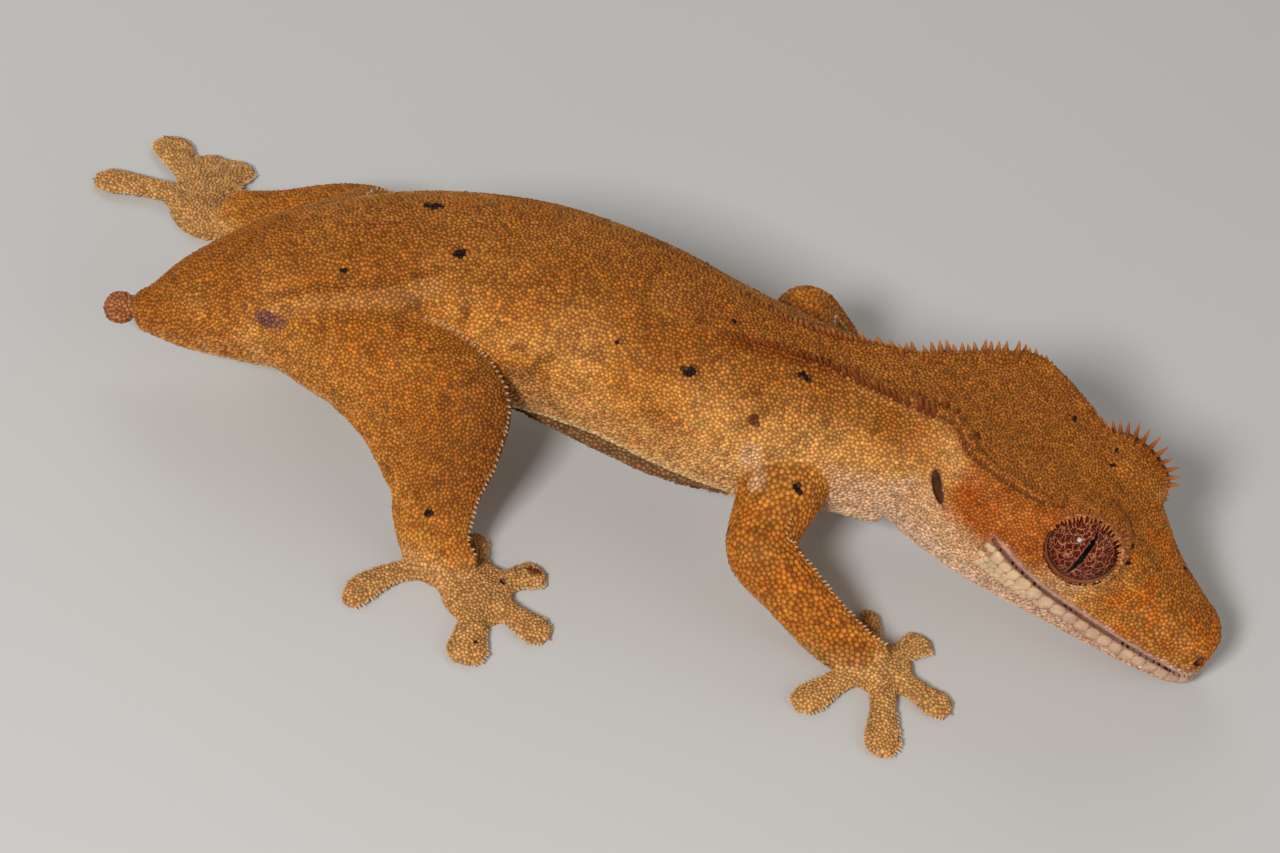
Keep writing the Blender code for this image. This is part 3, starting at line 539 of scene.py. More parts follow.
def corner_path(index, side, first_x, last_x):
    """Points along one corner of the body's sections, with the sections' frames."""
    points, frames = [], []
    for station, turn in zip(STATIONS, STATION_FRAMES):
        if first_x < station[0] < last_x:
            wide, tall = station[6 + 2 * index : 8 + 2 * index]
            points.append(station[:3] + side * wide * turn[:, 1] + tall * turn[:, 2])
            frames.append(turn)
    return np.array(points), np.array(frames)


def add_ridge(bm, points, radius, ends=7):
    """A low fold along a path, thinning out at both ends."""
    rows = []
    for i, point in enumerate(points):
        taper = min(1.0, 0.35 + 0.65 * i / ends, 0.35 + 0.65 * (len(points) - 1 - i) / ends)
        rows.append((*point, radius * taper, radius * 1.2 * taper))
    loft_into(bm, tube_rings(np.array(rows), (0, 1, 0), 12))


def object_from(bm, name):
    """An object in the frame's metres from a form in design millimetres."""
    mesh = bpy.data.meshes.new(name)
    bmesh.ops.recalc_face_normals(bm, faces=bm.faces)
    bm.to_mesh(mesh)
    bm.free()
    mesh.transform(Matrix.Scale(0.001, 4) @ Matrix.Translation(Vector(SHIFT)))
    made = bpy.data.objects.new(name, mesh)
    bpy.context.scene.collection.objects.link(made)
    return made


def modified(obj, *steps):
    """Applies modifiers in turn, each given as its kind and its settings."""
    for kind, settings in steps:
        added = obj.modifiers.new(kind, kind)
        for key, value in settings.items():
            setattr(added, key, value)
    graph = bpy.context.evaluated_depsgraph_get()
    made = bpy.data.meshes.new_from_object(obj.evaluated_get(graph))
    obj.modifiers.clear()
    obj.data = made


def add_cone(bm, centre, direction, low_radius, high_radius, depth, segments=48):
    turn = Vector(direction).normalized().to_track_quat("Z", "Y").to_matrix().to_4x4()
    bmesh.ops.create_cone(
        bm, cap_ends=True, segments=segments, radius1=low_radius, radius2=high_radius,
        depth=depth, matrix=Matrix.Translation(Vector(centre)) @ turn,
    )


def mouth_path(steps=6):
    line = np.array(MOUTH_LINE)
    return smooth_rows(np.vstack([line, line[-2::-1] * [1, -1, 1]]), steps)


def blade_rings(path, width, depth):
    ahead = np.gradient(path, axis=0)
    rings = []
    for point, forward in zip(path, ahead):
        inward = np.array([forward[1], -forward[0], 0.0])
        inward /= np.linalg.norm(inward)
        if inward @ np.array([point[0] - 4.0, point[1], 0.0]) > 0:
            inward = -inward
        up = np.array([0, 0, width / 2])
        deep, proud = point + inward * depth, point - inward * 1.8
        corners = (deep - up * 0.4, proud - up, proud + up, deep + up * 0.4)
        rings.append([head_point(c) for c in corners])
    return rings


def cutter(name, add, *values):
    """A closed form to cut from the skin, made by one of the functions above."""
    bm = bmesh.new()
    add(bm, *values)
    return object_from(bm, name)


def skin_cutters():
    """The mouth line, nostrils, ears, and the openings and sockets of the eyes."""
    made = [cutter("cut_mouth", loft_into, blade_rings(mouth_path(), MOUTH_GAP, 0.8))]
    lean = HEAD_FRAME @ turned_frame(0, -EAR_LEAN, 0)
    for side in (-1, 1):
        centre, axes = eye_frame(side)
        out = axes[:, 2]
        nostril, ear = head_point(NOSTRIL, side), head_point(EAR, side)
        made += [
            cutter("cut_opening", add_cone, centre + out * 3.2, out, *LID_CONE, 4.0),
            cutter("cut_socket", add_ellipsoid, centre, (EYE_RADIUS + 0.06,) * 3, HEAD_FRAME, 48),
            cutter("cut_nostril", add_ellipsoid, nostril, NOSTRIL_SIZE, HEAD_FRAME, 16),
            cutter("cut_ear", add_ellipsoid, ear, EAR_SIZE, lean, 20),
        ]
    return made


def fused_skin():
    """Trunk, head, limbs and feet as one closed skin, with its openings cut."""
    bm = bmesh.new()
    loft_into(bm, [section_ring(s) for s in STATIONS])
    add_ellipsoid(bm, BULB_CENTRE, (BULB_RADIUS,) * 3)
    for side in (-1, 1):
        add_ridge(bm, corner_path(0, side, 14.0, HEAD_CENTRE[0] - 3.0)[0], CREST_RIDGE)
        add_ellipsoid(bm, head_point(EYE_CENTRE, side), (LID_RADIUS,) * 3, HEAD_FRAME)
        add_ridge(bm, corner_path(3, side, -14.0, 12.0)[0], FLANK_RIDGE)
    for rows, across in LIMBS.values():
        loft_into(bm, tube_rings(rounded_ends(smooth_rows(rows, 5)), across))
    for foot in FEET.values():
        add_foot(bm, *foot)
    skin = object_from(bm, "skin")
    modified(
        skin,
        ("REMESH", {"mode": "VOXEL", "voxel_size": VOXEL / 1000}),
        ("SMOOTH", {"factor": 0.5, "iterations": SMOOTH_ROUNDS}),
    )
    cutters = bpy.data.collections.new("cutters")
    bpy.context.scene.collection.children.link(cutters)
    for obj in skin_cutters():
        bpy.context.scene.collection.objects.unlink(obj)
        cutters.objects.link(obj)
    cut = {"operation": "DIFFERENCE", "operand_type": "COLLECTION", "collection": cutters}
    modified(skin, ("BOOLEAN", {**cut, "solver": "MANIFOLD"}))
    for obj in list(cutters.objects):
        bpy.data.objects.remove(obj, do_unlink=True)
    bpy.data.collections.remove(cutters)
    modified(skin, ("TRIANGULATE", {"quad_method": "SHORTEST_DIAGONAL"}))
    faces = in_order(triangles_of(skin.data))
    skin.data = mesh_of("skin", vectors_of(skin.data.vertices, "co"), faces)
    return skin


def vectors_of(items, key):
    values = np.empty(len(items) * 3, np.float32)
    items.foreach_get(key, values)
    return values.reshape(-1, 3).astype(float)


def triangles_of(mesh):
    faces = np.empty((len(mesh.polygons), 3), np.int32)
    mesh.polygons.foreach_get("vertices", faces.ravel())
    return faces


def in_order(faces):
    """Triangles listed by their corners: cutting leaves their order to chance, and scales go by it."""
    first = faces.argmin(1)[:, None]
    faces = np.take_along_axis(faces, (first + np.arange(3)) % 3, axis=1)
    return faces[np.lexsort(faces.T[::-1])]


def mesh_of(name, points, faces):
    """A mesh made from whole arrays: points in metres, and faces of equal count."""
    mesh = bpy.data.meshes.new(name)
    mesh.vertices.add(len(points))
    mesh.vertices.foreach_set("co", points.astype(np.float32).ravel())
    mesh.loops.add(faces.size)
    mesh.polygons.add(len(faces))
    mesh.polygons.foreach_set("loop_start", np.arange(len(faces), dtype=np.int32) * faces.shape[1])
    mesh.polygons.foreach_set("vertices", faces.astype(np.int32).ravel())
    mesh.update(calc_edges=True)
    return mesh


def part_rows():
    """Named parts of the body as rows of centre, radius and the way to the tail or toes."""
    parts = {}
    up = STATION_FRAMES[:, :, 2]
    top, bottom = STATIONS[:, 14], STATIONS[:, 15]
    centres = STATIONS[:, :3] + up * ((top + bottom) / 2)[:, None]
    radius = (STATIONS[:, 10] + (top - bottom) / 2) / 2
    parts["trunk"] = np.column_stack([centres, radius, -STATION_FRAMES[:, :, 0]])
    for name, (rows, _) in LIMBS.items():
        fine = smooth_rows(rows, 5)
        ahead = unit(np.gradient(fine[:, :3], axis=0))
        parts[name] = np.column_stack([fine[:, :3], fine[:, 3:5].mean(1), ahead])
    for name, (palm, _, heading, toes) in FEET.items():
        turn = turned_frame(heading, 0, 0)
        pieces = [[*palm, 0.8, 3.0, *turn[:, 0]]]
        for toe in toes:
            rows = smooth_rows(toe_rows(palm, *toe), 3)
            ahead = unit(np.gradient(rows[:, :3], axis=0))
            pieces += [[*r[:3], r[3], *a] for r, a in zip(rows, ahead)]
        parts[name] = np.array(pieces)
    return parts


PARTS = part_rows()
PART_NAMES = list(PARTS)


def parts_named(*names):
    return [PART_NAMES.index(name) for name in names]


ARMS = parts_named("arm_right", "arm_left")
LEGS = parts_named("leg_right", "web_right", "leg_left")
FOOT_PARTS = parts_named(*FEET)


def locate(points):
    """For each point its part, the nearest row of the part, and the way to the tail or toes."""
    best = np.full(len(points), 1e9)
    part = np.zeros(len(points), int)
    row = np.zeros(len(points), int)
    lie = np.zeros((len(points), 3))
    for index, name in enumerate(PART_NAMES):
        rows = PARTS[name]
        for start in range(0, len(points), 20000):
            span = slice(start, start + 20000)
            away = np.linalg.norm(points[span, None] - rows[None, :, :3], axis=2) / rows[:, 3]
            nearest = away.argmin(1)
            value = away[np.arange(len(nearest)), nearest]
            better = value < best[span]
            best[span] = np.where(better, value, best[span])
            part[span] = np.where(better, index, part[span])
            row[span] = np.where(better, nearest, row[span])
            lie[span] = np.where(better[:, None], rows[nearest, 4:7], lie[span])
    return part, row, lie


def mixed(first, second, share):
    return first + (second - first) * np.asarray(share)[:, None]


def layered(colour, *layers):
    """Lays colours over a colour in turn, each with its share at every point."""
    for laid, share in layers:
        colour = mixed(colour, laid, share)
    return colour


def blend(first, second, share):
    return first + (second - first) * share


def camera_axes():
    lift = math.radians(CAMERA_ELEVATION)
    back = Vector((0, -math.cos(lift), math.sin(lift)))
    right = Vector((1, 0, 0))
    turn = Matrix((right, back.cross(right), back)).transposed()
    return turn @ Matrix.Rotation(math.radians(CAMERA_ROLL), 3, "Z"), back


def seen_at(tree, across, down):
    """The point of the skin that the camera sees at a place in the photo, and pixels a millimetre."""
    turn, back = camera_axes()
    place = Vector(CAMERA_TARGET) + back * CAMERA_DISTANCE
    size = SENSOR / CAMERA_LENS / PHOTO_SIZE[0]
    ray = Vector(((across - PHOTO_SIZE[0] / 2) * size, (PHOTO_SIZE[1] / 2 - down) * size, -1))
    hit, normal, _, _ = tree.ray_cast(place, (turn @ ray).normalized())
    return hit, normal, 1 / (size * (hit - place).dot(-back)) if hit else 0


def spot_table(tree):
    """Each mark's centre on the skin, its axes in the picture's plane, and its kind."""
    turn, _ = camera_axes()
    found = []
    for kind, table in enumerate((SPOTS, RED_SPOTS, PURPLE_SPOTS)):
        for across, down, long, short, lean in table:
            hit, normal, scale = seen_at(tree, across, down)
            if hit is None:
                continue
            angle = math.radians(lean)
            first = turn @ Vector((math.cos(angle), -math.sin(angle), 0))
            first = (first - normal * first.dot(normal)).normalized()
            found.append((kind, np.array(hit), np.array(first), np.array(normal.cross(first)),
                          long / scale, short / scale))
    return found


def polyline_distance(points, path):
    """Distance to a path, and how far along it, from 0 to 1, the nearest point lies."""
    best = np.full(len(points), 1e9)
    share = np.zeros(len(points))
    for i in range(len(path) - 1):
        step = path[i + 1] - path[i]
        t = np.clip((points - path[i]) @ step / (step @ step), 0, 1)
        away = np.linalg.norm(points - path[i] - t[:, None] * step, axis=1)
        share = np.where(away < best, (i + t) / (len(path) - 1), share)
        best = np.minimum(best, away)
    return best, share


MOUTH = np.array(MOUTH_LINE)
LIP = smooth_rows(MOUTH_LINE, 4)

OCHRE = srgb(184, 126, 68)
TAN = srgb(204, 150, 92)
BROWN = srgb(148, 90, 42)
UMBER = srgb(102, 58, 28)
RUST = srgb(148, 70, 26)
ORANGE = srgb(188, 104, 48)
CREAM = srgb(214, 178, 134)
PINK = srgb(206, 158, 128)
PALE_PINK = srgb(214, 182, 160)
BELLY = srgb(212, 190, 156)
PALE_FOOT = srgb(196, 154, 106)
WHITE_LIP = srgb(174, 140, 116)
LIP_GREY = srgb(164, 122, 102)
SPOT_DARK = srgb(24, 13, 9)
SPOT_RED = srgb(84, 36, 22)
SPOT_PURPLE = srgb(96, 62, 66)
BULB_PINK = srgb(162, 106, 76)
CROWN = srgb(148, 92, 46)
BACK_BROWN_AND_SHADE = blend(BROWN, UMBER, 0.35)
SNOUT_BROWN = blend(OCHRE, BROWN, 0.85)
CREST_SHADE = blend(UMBER, RUST, 0.35)
FOLD_SHADOW = srgb(112, 88, 64)
ARM_PALE = srgb(214, 174, 142)
LIP_BAND = srgb(178, 140, 124)
LIP_CORNER = srgb(200, 172, 128)
MOUTH_SLIT_SHADE = srgb(84, 52, 44)
EAR_SHADE = srgb(52, 32, 34)
NOSTRIL_SHADE = srgb(50, 22, 26)
TUBERCLE = srgb(140, 78, 36)
# The near crest's spine tips are painted darker than the far crest's, as painted shade
NEAR_TIP, FAR_TIP, LASH_TIP = srgb(146, 74, 32), srgb(206, 126, 56), srgb(198, 112, 54)
FRINGE_TIP = srgb(232, 210, 176)
CLAW_BASE, CLAW_TIP = srgb(176, 144, 104), srgb(112, 84, 58)
# The lid rims: painted shade above, their own pale pink-brown below
LID_SHADE, LID_PALE = srgb(56, 28, 20), srgb(124, 78, 56)
# Each kind of mark: its colour, and how far it covers the skin
MARKS = [(SPOT_DARK, 0.99), (SPOT_RED, 0.88), (SPOT_PURPLE, 0.8)]
SATURATION = 1.12
DARKEST = 0.004

# Lines along the crests, painted darker: painted shade just below each ridge, and the dark rust scales along
# its edge
CREST_LINES = [
    corner_path(0, side, 6.0, HEAD_CENTRE[0] - 3.5)[0][::3] + [0, side * 0.3, -0.15] for side in (-1, 1)
]


def paint(points, normals, part, row, spots):
    """The animal's colour at each point, with painted shade and light laid into it: one function for the
    skin and for its scales.
    """
    large, middle, small = cloud(points, 7.0, 3), cloud(points, 1.9, 13), noise(points, 0.75, 23)
    trunk = part == 0
    turn = STATION_FRAMES[np.where(trunk, row, 0)]
    offset = points - STATIONS[np.where(trunk, row, 0), :3]
    height = np.einsum("ij,ij->i", offset, turn[:, :, 2])
    upward = np.where(trunk, np.einsum("ij,ij->i", normals, turn[:, :, 2]), normals[:, 2])
    x, z = points[:, 0], points[:, 2]
    colour = layered(
        mixed(OCHRE, BROWN, smooth_step(0.40, 0.66, large) * 0.55),
        (TAN, smooth_step(0.5, 0.75, 1 - large) * 0.6),
        (UMBER, smooth_step(0.56, 0.74, middle) * 0.5),
        (ORANGE, smooth_step(0.62, 0.85, small) * smooth_step(0.35, 0.6, large) * 0.5),
    )
    # The back is browner, partly its own colour and partly painted shade; the shoulders paler, partly their
    # own tan and partly painted light; the flanks paler and the belly pale
    back = trunk * smooth_step(0.55, 0.95, upward)
    flank = trunk * smooth_step(0.35, -0.35, upward)
    front = trunk * smooth_step(-2.0, 14.0, x) * smooth_step(0.9, 0.3, upward)
    pink = trunk * smooth_step(14.0, 20.0, x) * smooth_step(0.3, -0.4, upward)
    tail = trunk * smooth_step(-30.0, -42.0, x)
    belly = smooth_step(-0.25, -0.8, upward) * np.where(trunk, smooth_step(-2.0, -5.0, height), 1)
    legs, arms = np.isin(part, LEGS), np.isin(part, ARMS)
    knee = legs * smooth_step(-22.0, -15.0, x) * (points[:, 1] < 0) * smooth_step(6.0, 10.0, z)
    feet = (part > 0) * smooth_step(4.6, 1.8, z + 0.8 * (large - 0.5))
    colour = layered(
        colour,
        (BACK_BROWN_AND_SHADE, back * 0.75),
        (TAN, front * 0.42),
        (CREAM, flank * 0.24 + front * 0.12),
        (PALE_PINK, pink * 0.6),
        (BROWN, tail * 0.7 * smooth_step(0.2, 0.55, middle)),
        (BELLY, belly * 0.8),
        (BROWN, legs * smooth_step(4.0, 9.0, z) * 0.55),
        (UMBER, knee * 0.55),
        (PALE_FOOT, feet * 0.7),
        (BROWN, arms * 0.5),
        (ORANGE, arms * 0.25 * smooth_step(0.3, 0.7, large)),
    )
    colour = paint_folds(colour, points, trunk)
    colour = paint_head(colour, points, trunk & (x > 24), (large, middle, small))
    bulb = smooth_step(2.3, 1.9, np.linalg.norm(points - BULB_CENTRE, axis=1))
    colour = mixed(colour, mixed(BULB_PINK, BROWN, middle * 0.4), bulb)
    for kind, centre, first, second, long, short in spots:
        away = points - centre
        size = np.hypot(away @ first / long, away @ second / short)
        size = np.maximum(size, np.linalg.norm(away, axis=1) / (2 * long))
        edge = 1 + 0.45 * (noise(points, 0.5, 40 + kind) - 0.5)
        mark, strength = MARKS[kind]
        colour = mixed(colour, mark, smooth_step(1.12, 0.86, size / edge) * strength)
    grey = colour @ [0.25, 0.65, 0.10]
    return np.maximum(grey[:, None] + (colour - grey[:, None]) * SATURATION, DARKEST)


def near_path(points, path, far, close):
    """How near to a path each point lies: nothing at the far distance, and 1 at the close one."""
    away, _ = polyline_distance(points, path)
    return smooth_step(far, close, away)


def paint_folds(colour, points, trunk):
    """Pale edges of the folds with painted shade in their clefts, painted shadow on the belly under the
    flank's fold, and painted shade with dark rust scales along the crests.
    """
    right = points[:, 1] < 0
    fold = smooth_rows(FLANK_FOLD, 4)
    edge_height = np.interp(points[:, 0], fold[:, 0], fold[:, 2])
    inside = smooth_step(-17.0, -13.0, points[:, 0]) * smooth_step(11.5, 9.0, points[:, 0]) * trunk * right
    under = inside * smooth_step(0.1, -0.9, points[:, 2] - edge_height)
    edge = inside * near_path(points, fold, 1.5, 0.3) * (points[:, 2] > edge_height - 0.3)
    colour = layered(
        colour,
        # Painted shadow on the belly under the flank's fold
        (FOLD_SHADOW, under * 0.85),
        (CREAM, edge * 0.85),
        # Painted shade in the clefts of the flank's and thigh's folds
        (UMBER, inside * near_path(points, FLANK_CLEFT, 0.8, 0.2) * 0.75),
        (UMBER, near_path(points, THIGH_CLEFT, 0.75, 0.2) * 0.45),
        (CREAM, near_path(points, THIGH_CLEFT + [0, -1.6, -1.0], 1.6, 0.4) * 0.12),
        (ARM_PALE, near_path(points, ARM_CLEFT, 1.4, 0.5) * 0.6),
    )
    for path in CREST_LINES:
        colour = mixed(colour, CREST_SHADE, trunk * near_path(points, path, 1.15, 0.4) * 0.68)
    return colour


def ear_reach(folded, size):
    """How far off the ear's slit a point lies, as a share of this size."""
    offset = (folded - EAR) @ turned_frame(0, -EAR_LEAN, 0)
    return np.linalg.norm(offset / size, axis=1)


def paint_head(colour, points, head, clouds):
    """The cheek's rust band, the crown and snout, lips and throat, and painted shade in the mouth slit, ears
    and nostrils.
    """
    large, middle, small = clouds
    folded = folded_head(points)
    ahead, _, up = folded.T
    head = head * smooth_step(-21.0, -16.0, ahead)
    crest_height = np.interp(ahead, [s[0] for s in HEAD_SECTIONS], [s[2] for s in HEAD_SECTIONS])
    below = crest_height - up
    cheek = head * smooth_step(0.0, 0.7, below) * smooth_step(8.5, 4.5, below)
    cheek = cheek * smooth_step(2.0, -3.5, ahead) * smooth_step(-15.6, -13.2, ahead + 0.6 * (large - 0.5))
    crown = head * smooth_step(0.9, 0.0, below) * smooth_step(4.0, 0.0, ahead)
    snout = head * smooth_step(1.0, 5.0, ahead)
    away, _ = polyline_distance(folded, LIP)
    over = up - np.interp(ahead, MOUTH[:, 0], MOUTH[:, 2])
    lip = head * smooth_step(-9.5, -6.0, ahead)
    nostril = np.linalg.norm(folded - NOSTRIL, axis=1)
    return layered(
        colour,
        (RUST, cheek * (0.6 + 0.4 * middle)),
        (CROWN, crown * 0.75),
        (SNOUT_BROWN, snout * 0.75),
        (ORANGE, snout * smooth_step(0.5, 0.7, middle) * 0.55),
        (RUST, snout * smooth_step(0.6, 0.85, small) * 0.4),
        (LIP_BAND, lip * smooth_step(0.86, 0.72, away) * (over > 0) * 0.9),
        (LIP_GREY, lip * (over < 0) * smooth_step(5.0, 2.0, away) * 0.85),
        (PALE_PINK, head * smooth_step(-7.0, -9.5, up) * 0.66),
        # Painted shade in the mouth slit, the ear openings and the nostrils
        (MOUTH_SLIT_SHADE, head * smooth_step(0.34, 0.16, away) * (ahead > -8) * 0.85),
        (EAR_SHADE, head * smooth_step(1.15, 0.8, ear_reach(folded, (0.62, 1.4, 2.0)))),
        (NOSTRIL_SHADE, head * smooth_step(0.75, 0.5, nostril)),
    )


def charts(normals, part):
    """The unwrap: each part is laid flat from the six sides that its faces turn to."""
    side = np.abs(normals).argmax(1)
    facing = normals[np.arange(len(side)), side] > 0
    return part * 6 + side * 2 + facing


def flat_place(points, chart):
    """Places on the flat of each chart, in millimetres, before the charts are packed."""
    side = (chart % 6) // 2
    first = np.where(side == 0, points[:, 1], points[:, 0])
    second = np.where(side == 2, points[:, 1], points[:, 2])
    return np.column_stack([first, second])


def packed_charts(points, chart):
    """Where each chart's corner goes, and the millimetres that the whole map spans."""
    flat = flat_place(points, chart)
    boxes = {}
    for number in np.unique(chart):
        own = flat[chart == number]
        boxes[int(number)] = (own.min(0) - 0.8, own.max(0) + 0.8)
    order = sorted(boxes, key=lambda n: boxes[n][0][1] - boxes[n][1][1])
    span = 100.0
    while True:
        corners, x, y, tall = {}, 0.0, 0.0, 0.0
        for number in order:
            size = boxes[number][1] - boxes[number][0]
            if x + size[0] > span:
                x, y, tall = 0.0, y + tall, 0.0
            corners[number] = np.array([x, y]) - boxes[number][0]
            x, tall = x + size[0], max(tall, size[1])
        if y + tall <= span and max(b[1][0] - b[0][0] for b in boxes.values()) <= span:
            return corners, span
        span *= 1.03


def map_place(points, chart, corners, span):
    offsets = np.zeros((int(chart.max()) + 1, 2))
    for number, corner in corners.items():
        if number < len(offsets):
            offsets[number] = corner
    return (flat_place(points, chart) + offsets[chart]) / span


def mesh_object(name, points, faces, tint, uv, look):
    """A piece with its colours, its map and its material, from points in millimetres."""
    mesh = mesh_of(name, to_world(np.clip(points, BOX_LOW, BOX_HIGH)), faces)
    mesh.shade_smooth()
    set_tint(mesh, tint)
    set_map(mesh, uv[faces.ravel()])
    mesh.materials.append(look)
    made = bpy.data.objects.new(name, mesh)
    bpy.context.scene.collection.objects.link(made)
    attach(made, "root")
    return made


def set_tint(mesh, tint):
    colours = np.column_stack([np.clip(tint, 0, 1), np.ones(len(tint))])
    layer = mesh.color_attributes.new("tint", "FLOAT_COLOR", "POINT")
    layer.data.foreach_set("color", colours.astype(np.float32).ravel())


def set_map(mesh, uv):
    layer = mesh.uv_layers.new(name="OFBake")
    layer.data.foreach_set("uv", uv.astype(np.float32).ravel())


def scale_size(points, normals, part):
    """How far apart the scales stand, in millimetres, over the body."""
    trunk, place = part == 0, in_head(points)
    down = smooth_step(0.1, -0.7, normals[:, 2])
    above, more = np.where(trunk[:, None], TRUNK_SCALES, LIMB_SCALES).T
    size = above + more * down
    head = trunk * smooth_step(-20.0, -13.0, place[:, 0])
    throat = smooth_step(-6.0, -11.0, place[:, 2])
    size = size * (1 - head) + head * (HEAD_SCALES[0] + HEAD_SCALES[1] * throat)
    size += head * smooth_step(3.0, 9.0, place[:, 0]) * SNOUT_EXTRA
    size = np.where(np.isin(part, ARMS), ARM_SCALES, size)
    return np.where(np.isin(part, FOOT_PARTS), FOOT_SCALES[0] + FOOT_SCALES[1] * down, size)


def bare(points, normals):
    """Where no small scale grows: eyes, mouth, lip plates, ears, nostrils and the flats below."""
    folded = folded_head(points)
    ahead, _, up = folded.T
    none = (points[:, 2] < 0.28) & (normals[:, 2] < -0.3)
    away, share = polyline_distance(folded, LIP)
    over = up - np.interp(ahead, MOUTH[:, 0], MOUTH[:, 2])
    near = (ahead > -9.0) & (ahead < 18.3)
    none |= near & (away < np.interp(share, [0, 0.06, 0.5, 1], [0.3, 0.72, 0.72, 0.5]))
    none |= near & (over < 0) & (away < np.interp(share, [0, 0.1, 0.3, 1], [0.8, 2.0, 2.1, 1.5]))
    for sign in (-1, 1):
        centre, axes = eye_frame(sign)
        local = (points - centre) @ axes
        rim = np.hypot(local[:, 0], local[:, 1])
        none |= (local[:, 2] > 0) & (rim < 3.74) & (np.linalg.norm(local, axis=1) < 6)
    none |= ear_reach(folded, (0.62, 1.35, 1.95)) < 1
    none |= np.linalg.norm((folded - NOSTRIL) / [0.75, 0.8, 0.62], axis=1) < 1
    return none


def tree_of(spots):
    """A search tree over spots that are given as lists of three numbers."""
    tree = KDTree(len(spots))
    for i, spot in enumerate(spots):
        tree.insert(spot, i)
    tree.balance()
    return tree


def face_crosses(corners):
    """For each triangle the vector along its normal, as long as twice its area."""
    return np.cross(corners[:, 1] - corners[:, 0], corners[:, 2] - corners[:, 0])


def scattered(skin):
    """Roots of the scales: evenly scattered over the skin, and closer where they are small."""
    corners = (vectors_of(skin.obj.data.vertices, "co") * 1000 - SHIFT)[skin.faces]
    area = np.linalg.norm(face_crosses(corners), axis=1) / 2
    normal = unit(skin.normals[skin.faces].sum(1))
    size = scale_size(corners.mean(1), normal, skin.part[skin.faces[:, 0]])
    share = np.cumsum(area / size**2)
    count = int(share[-1] / HEXAGON * TRIES)
    chosen = np.searchsorted(share, RNG.random(count) * share[-1])
    u, v = RNG.random((2, count))
    flip = u + v > 1
    u, v = np.where(flip, 1 - u, u), np.where(flip, 1 - v, v)
    spots = corners[chosen, 0] + u[:, None] * (corners[chosen, 1] - corners[chosen, 0])
    spots += v[:, None] * (corners[chosen, 2] - corners[chosen, 0])
    reach = size[chosen] * STREWN_REACH
    listed = spots.tolist()
    tree = tree_of(listed)
    gone = bytearray(count)
    kept = []
    for i, (spot, r) in enumerate(zip(listed, reach.tolist())):
        if gone[i]:
            continue
        kept.append(i)
        for found in tree.find_range(spot, r):
            gone[found[1]] = 1
    kept = np.array(kept)
    return spots[kept], normal[chosen[kept]], size[chosen[kept]]


def relaxed(spots, normals, size, tree, rounds):
    """Roots moved apart until they lie as closely packed scales do, and back onto the skin."""
    for turn in range(rounds + 1):
        listed = spots.tolist()
        found = tree_of(listed)
        near = np.empty((len(spots), NEIGHBOURS + 1), np.int64)
        for i, spot in enumerate(listed):
            near[i] = [hit[1] for hit in found.find_n(spot, NEIGHBOURS + 1)]
        offset = spots[:, None] - spots[near[:, 1:]]
        away = np.linalg.norm(offset, axis=2)
        if turn == rounds:
            break
        push = np.clip(PUSH_REACH - away / size[:, None], 0, PUSH_MOST)
        step = (offset / np.maximum(away, 1e-6)[:, :, None] * push[:, :, None]).sum(1)
        step -= normals * np.einsum("ij,ij->i", step, normals)[:, None]
        spots = spots + step * size[:, None] * PUSH_STEP
    final = np.empty_like(spots)
    face = np.empty(len(spots), np.int64)
    for i, spot in enumerate(spots.tolist()):
        final[i], _, face[i], _ = tree.find_nearest(spot)
    return final, face, away.mean(1)


def bead(sides, levels):
    """A scale's template: rings of radius, height and slide to the rear, then the tip."""
    points, faces = [], []
    for level, (radius, height, slide) in enumerate(levels[:-1]):
        for i in range(sides):
            turn = 2 * math.pi * (i + 0.5 * (level % 2)) / sides
            points.append((radius * math.cos(turn) + slide, radius * math.sin(turn), height))
    tip = len(points)
    points.append((levels[-1][2], 0.0, levels[-1][1]))
    for level in range(len(levels) - 2):
        low_ring, high_ring = level * sides, (level + 1) * sides
        for i in range(sides):
            j = (i + 1) % sides
            if level % 2 == 0:
                faces += [(low_ring + i, low_ring + j, high_ring + i),
                          (low_ring + j, high_ring + j, high_ring + i)]
            else:
                faces += [(low_ring + i, low_ring + j, high_ring + j),
                          (low_ring + i, high_ring + j, high_ring + i)]
    last = (len(levels) - 2) * sides
    faces += [(last + i, last + (i + 1) % sides, tip) for i in range(sides)]
    return np.array(points), np.array(faces)


def frames_for(normals, lie, turn=0.0):
    """Rows of ahead, left and out axes with the lie laid into the surface."""
    out = unit(normals)
    ahead = unit(lie - out * np.einsum("ij,ij->i", lie, out)[:, None])
    left = np.cross(out, ahead)
    cosine, sine = np.cos(turn)[:, None], np.sin(turn)[:, None]
    return np.stack([ahead * cosine + left * sine, left * cosine - ahead * sine, out], axis=1)


# The pale colour of the painted highlight on the tops of scales, and how painted shade turns warmer as it
# darkens
TIP_HIGHLIGHT = srgb(236, 204, 156)
WARM_SHADE = np.array([0.72, 1.05, 1.40])


def joined_copies(name, template, roots, axes, sizes, tint, uv, look):
    """One mesh of many copies of a template, each with a patch of the map of its own."""
    shape, faces = template
    made = roots[:, None, :] + np.einsum("nvk,nkj->nvj", shape[None] * sizes[:, None, :], axes)
    count, each = made.shape[:2]
    every = faces[None] + (np.arange(count) * each)[:, None, None]
    patch = shape[:, :2] / np.abs(shape[:, :2]).max() * PATCH / 2
    places = uv[:, None, :] + patch[None]
    return mesh_object(name, made.reshape(-1, 3), every.reshape(-1, 3), tint.reshape(-1, 3),
                       places.reshape(-1, 2), look)


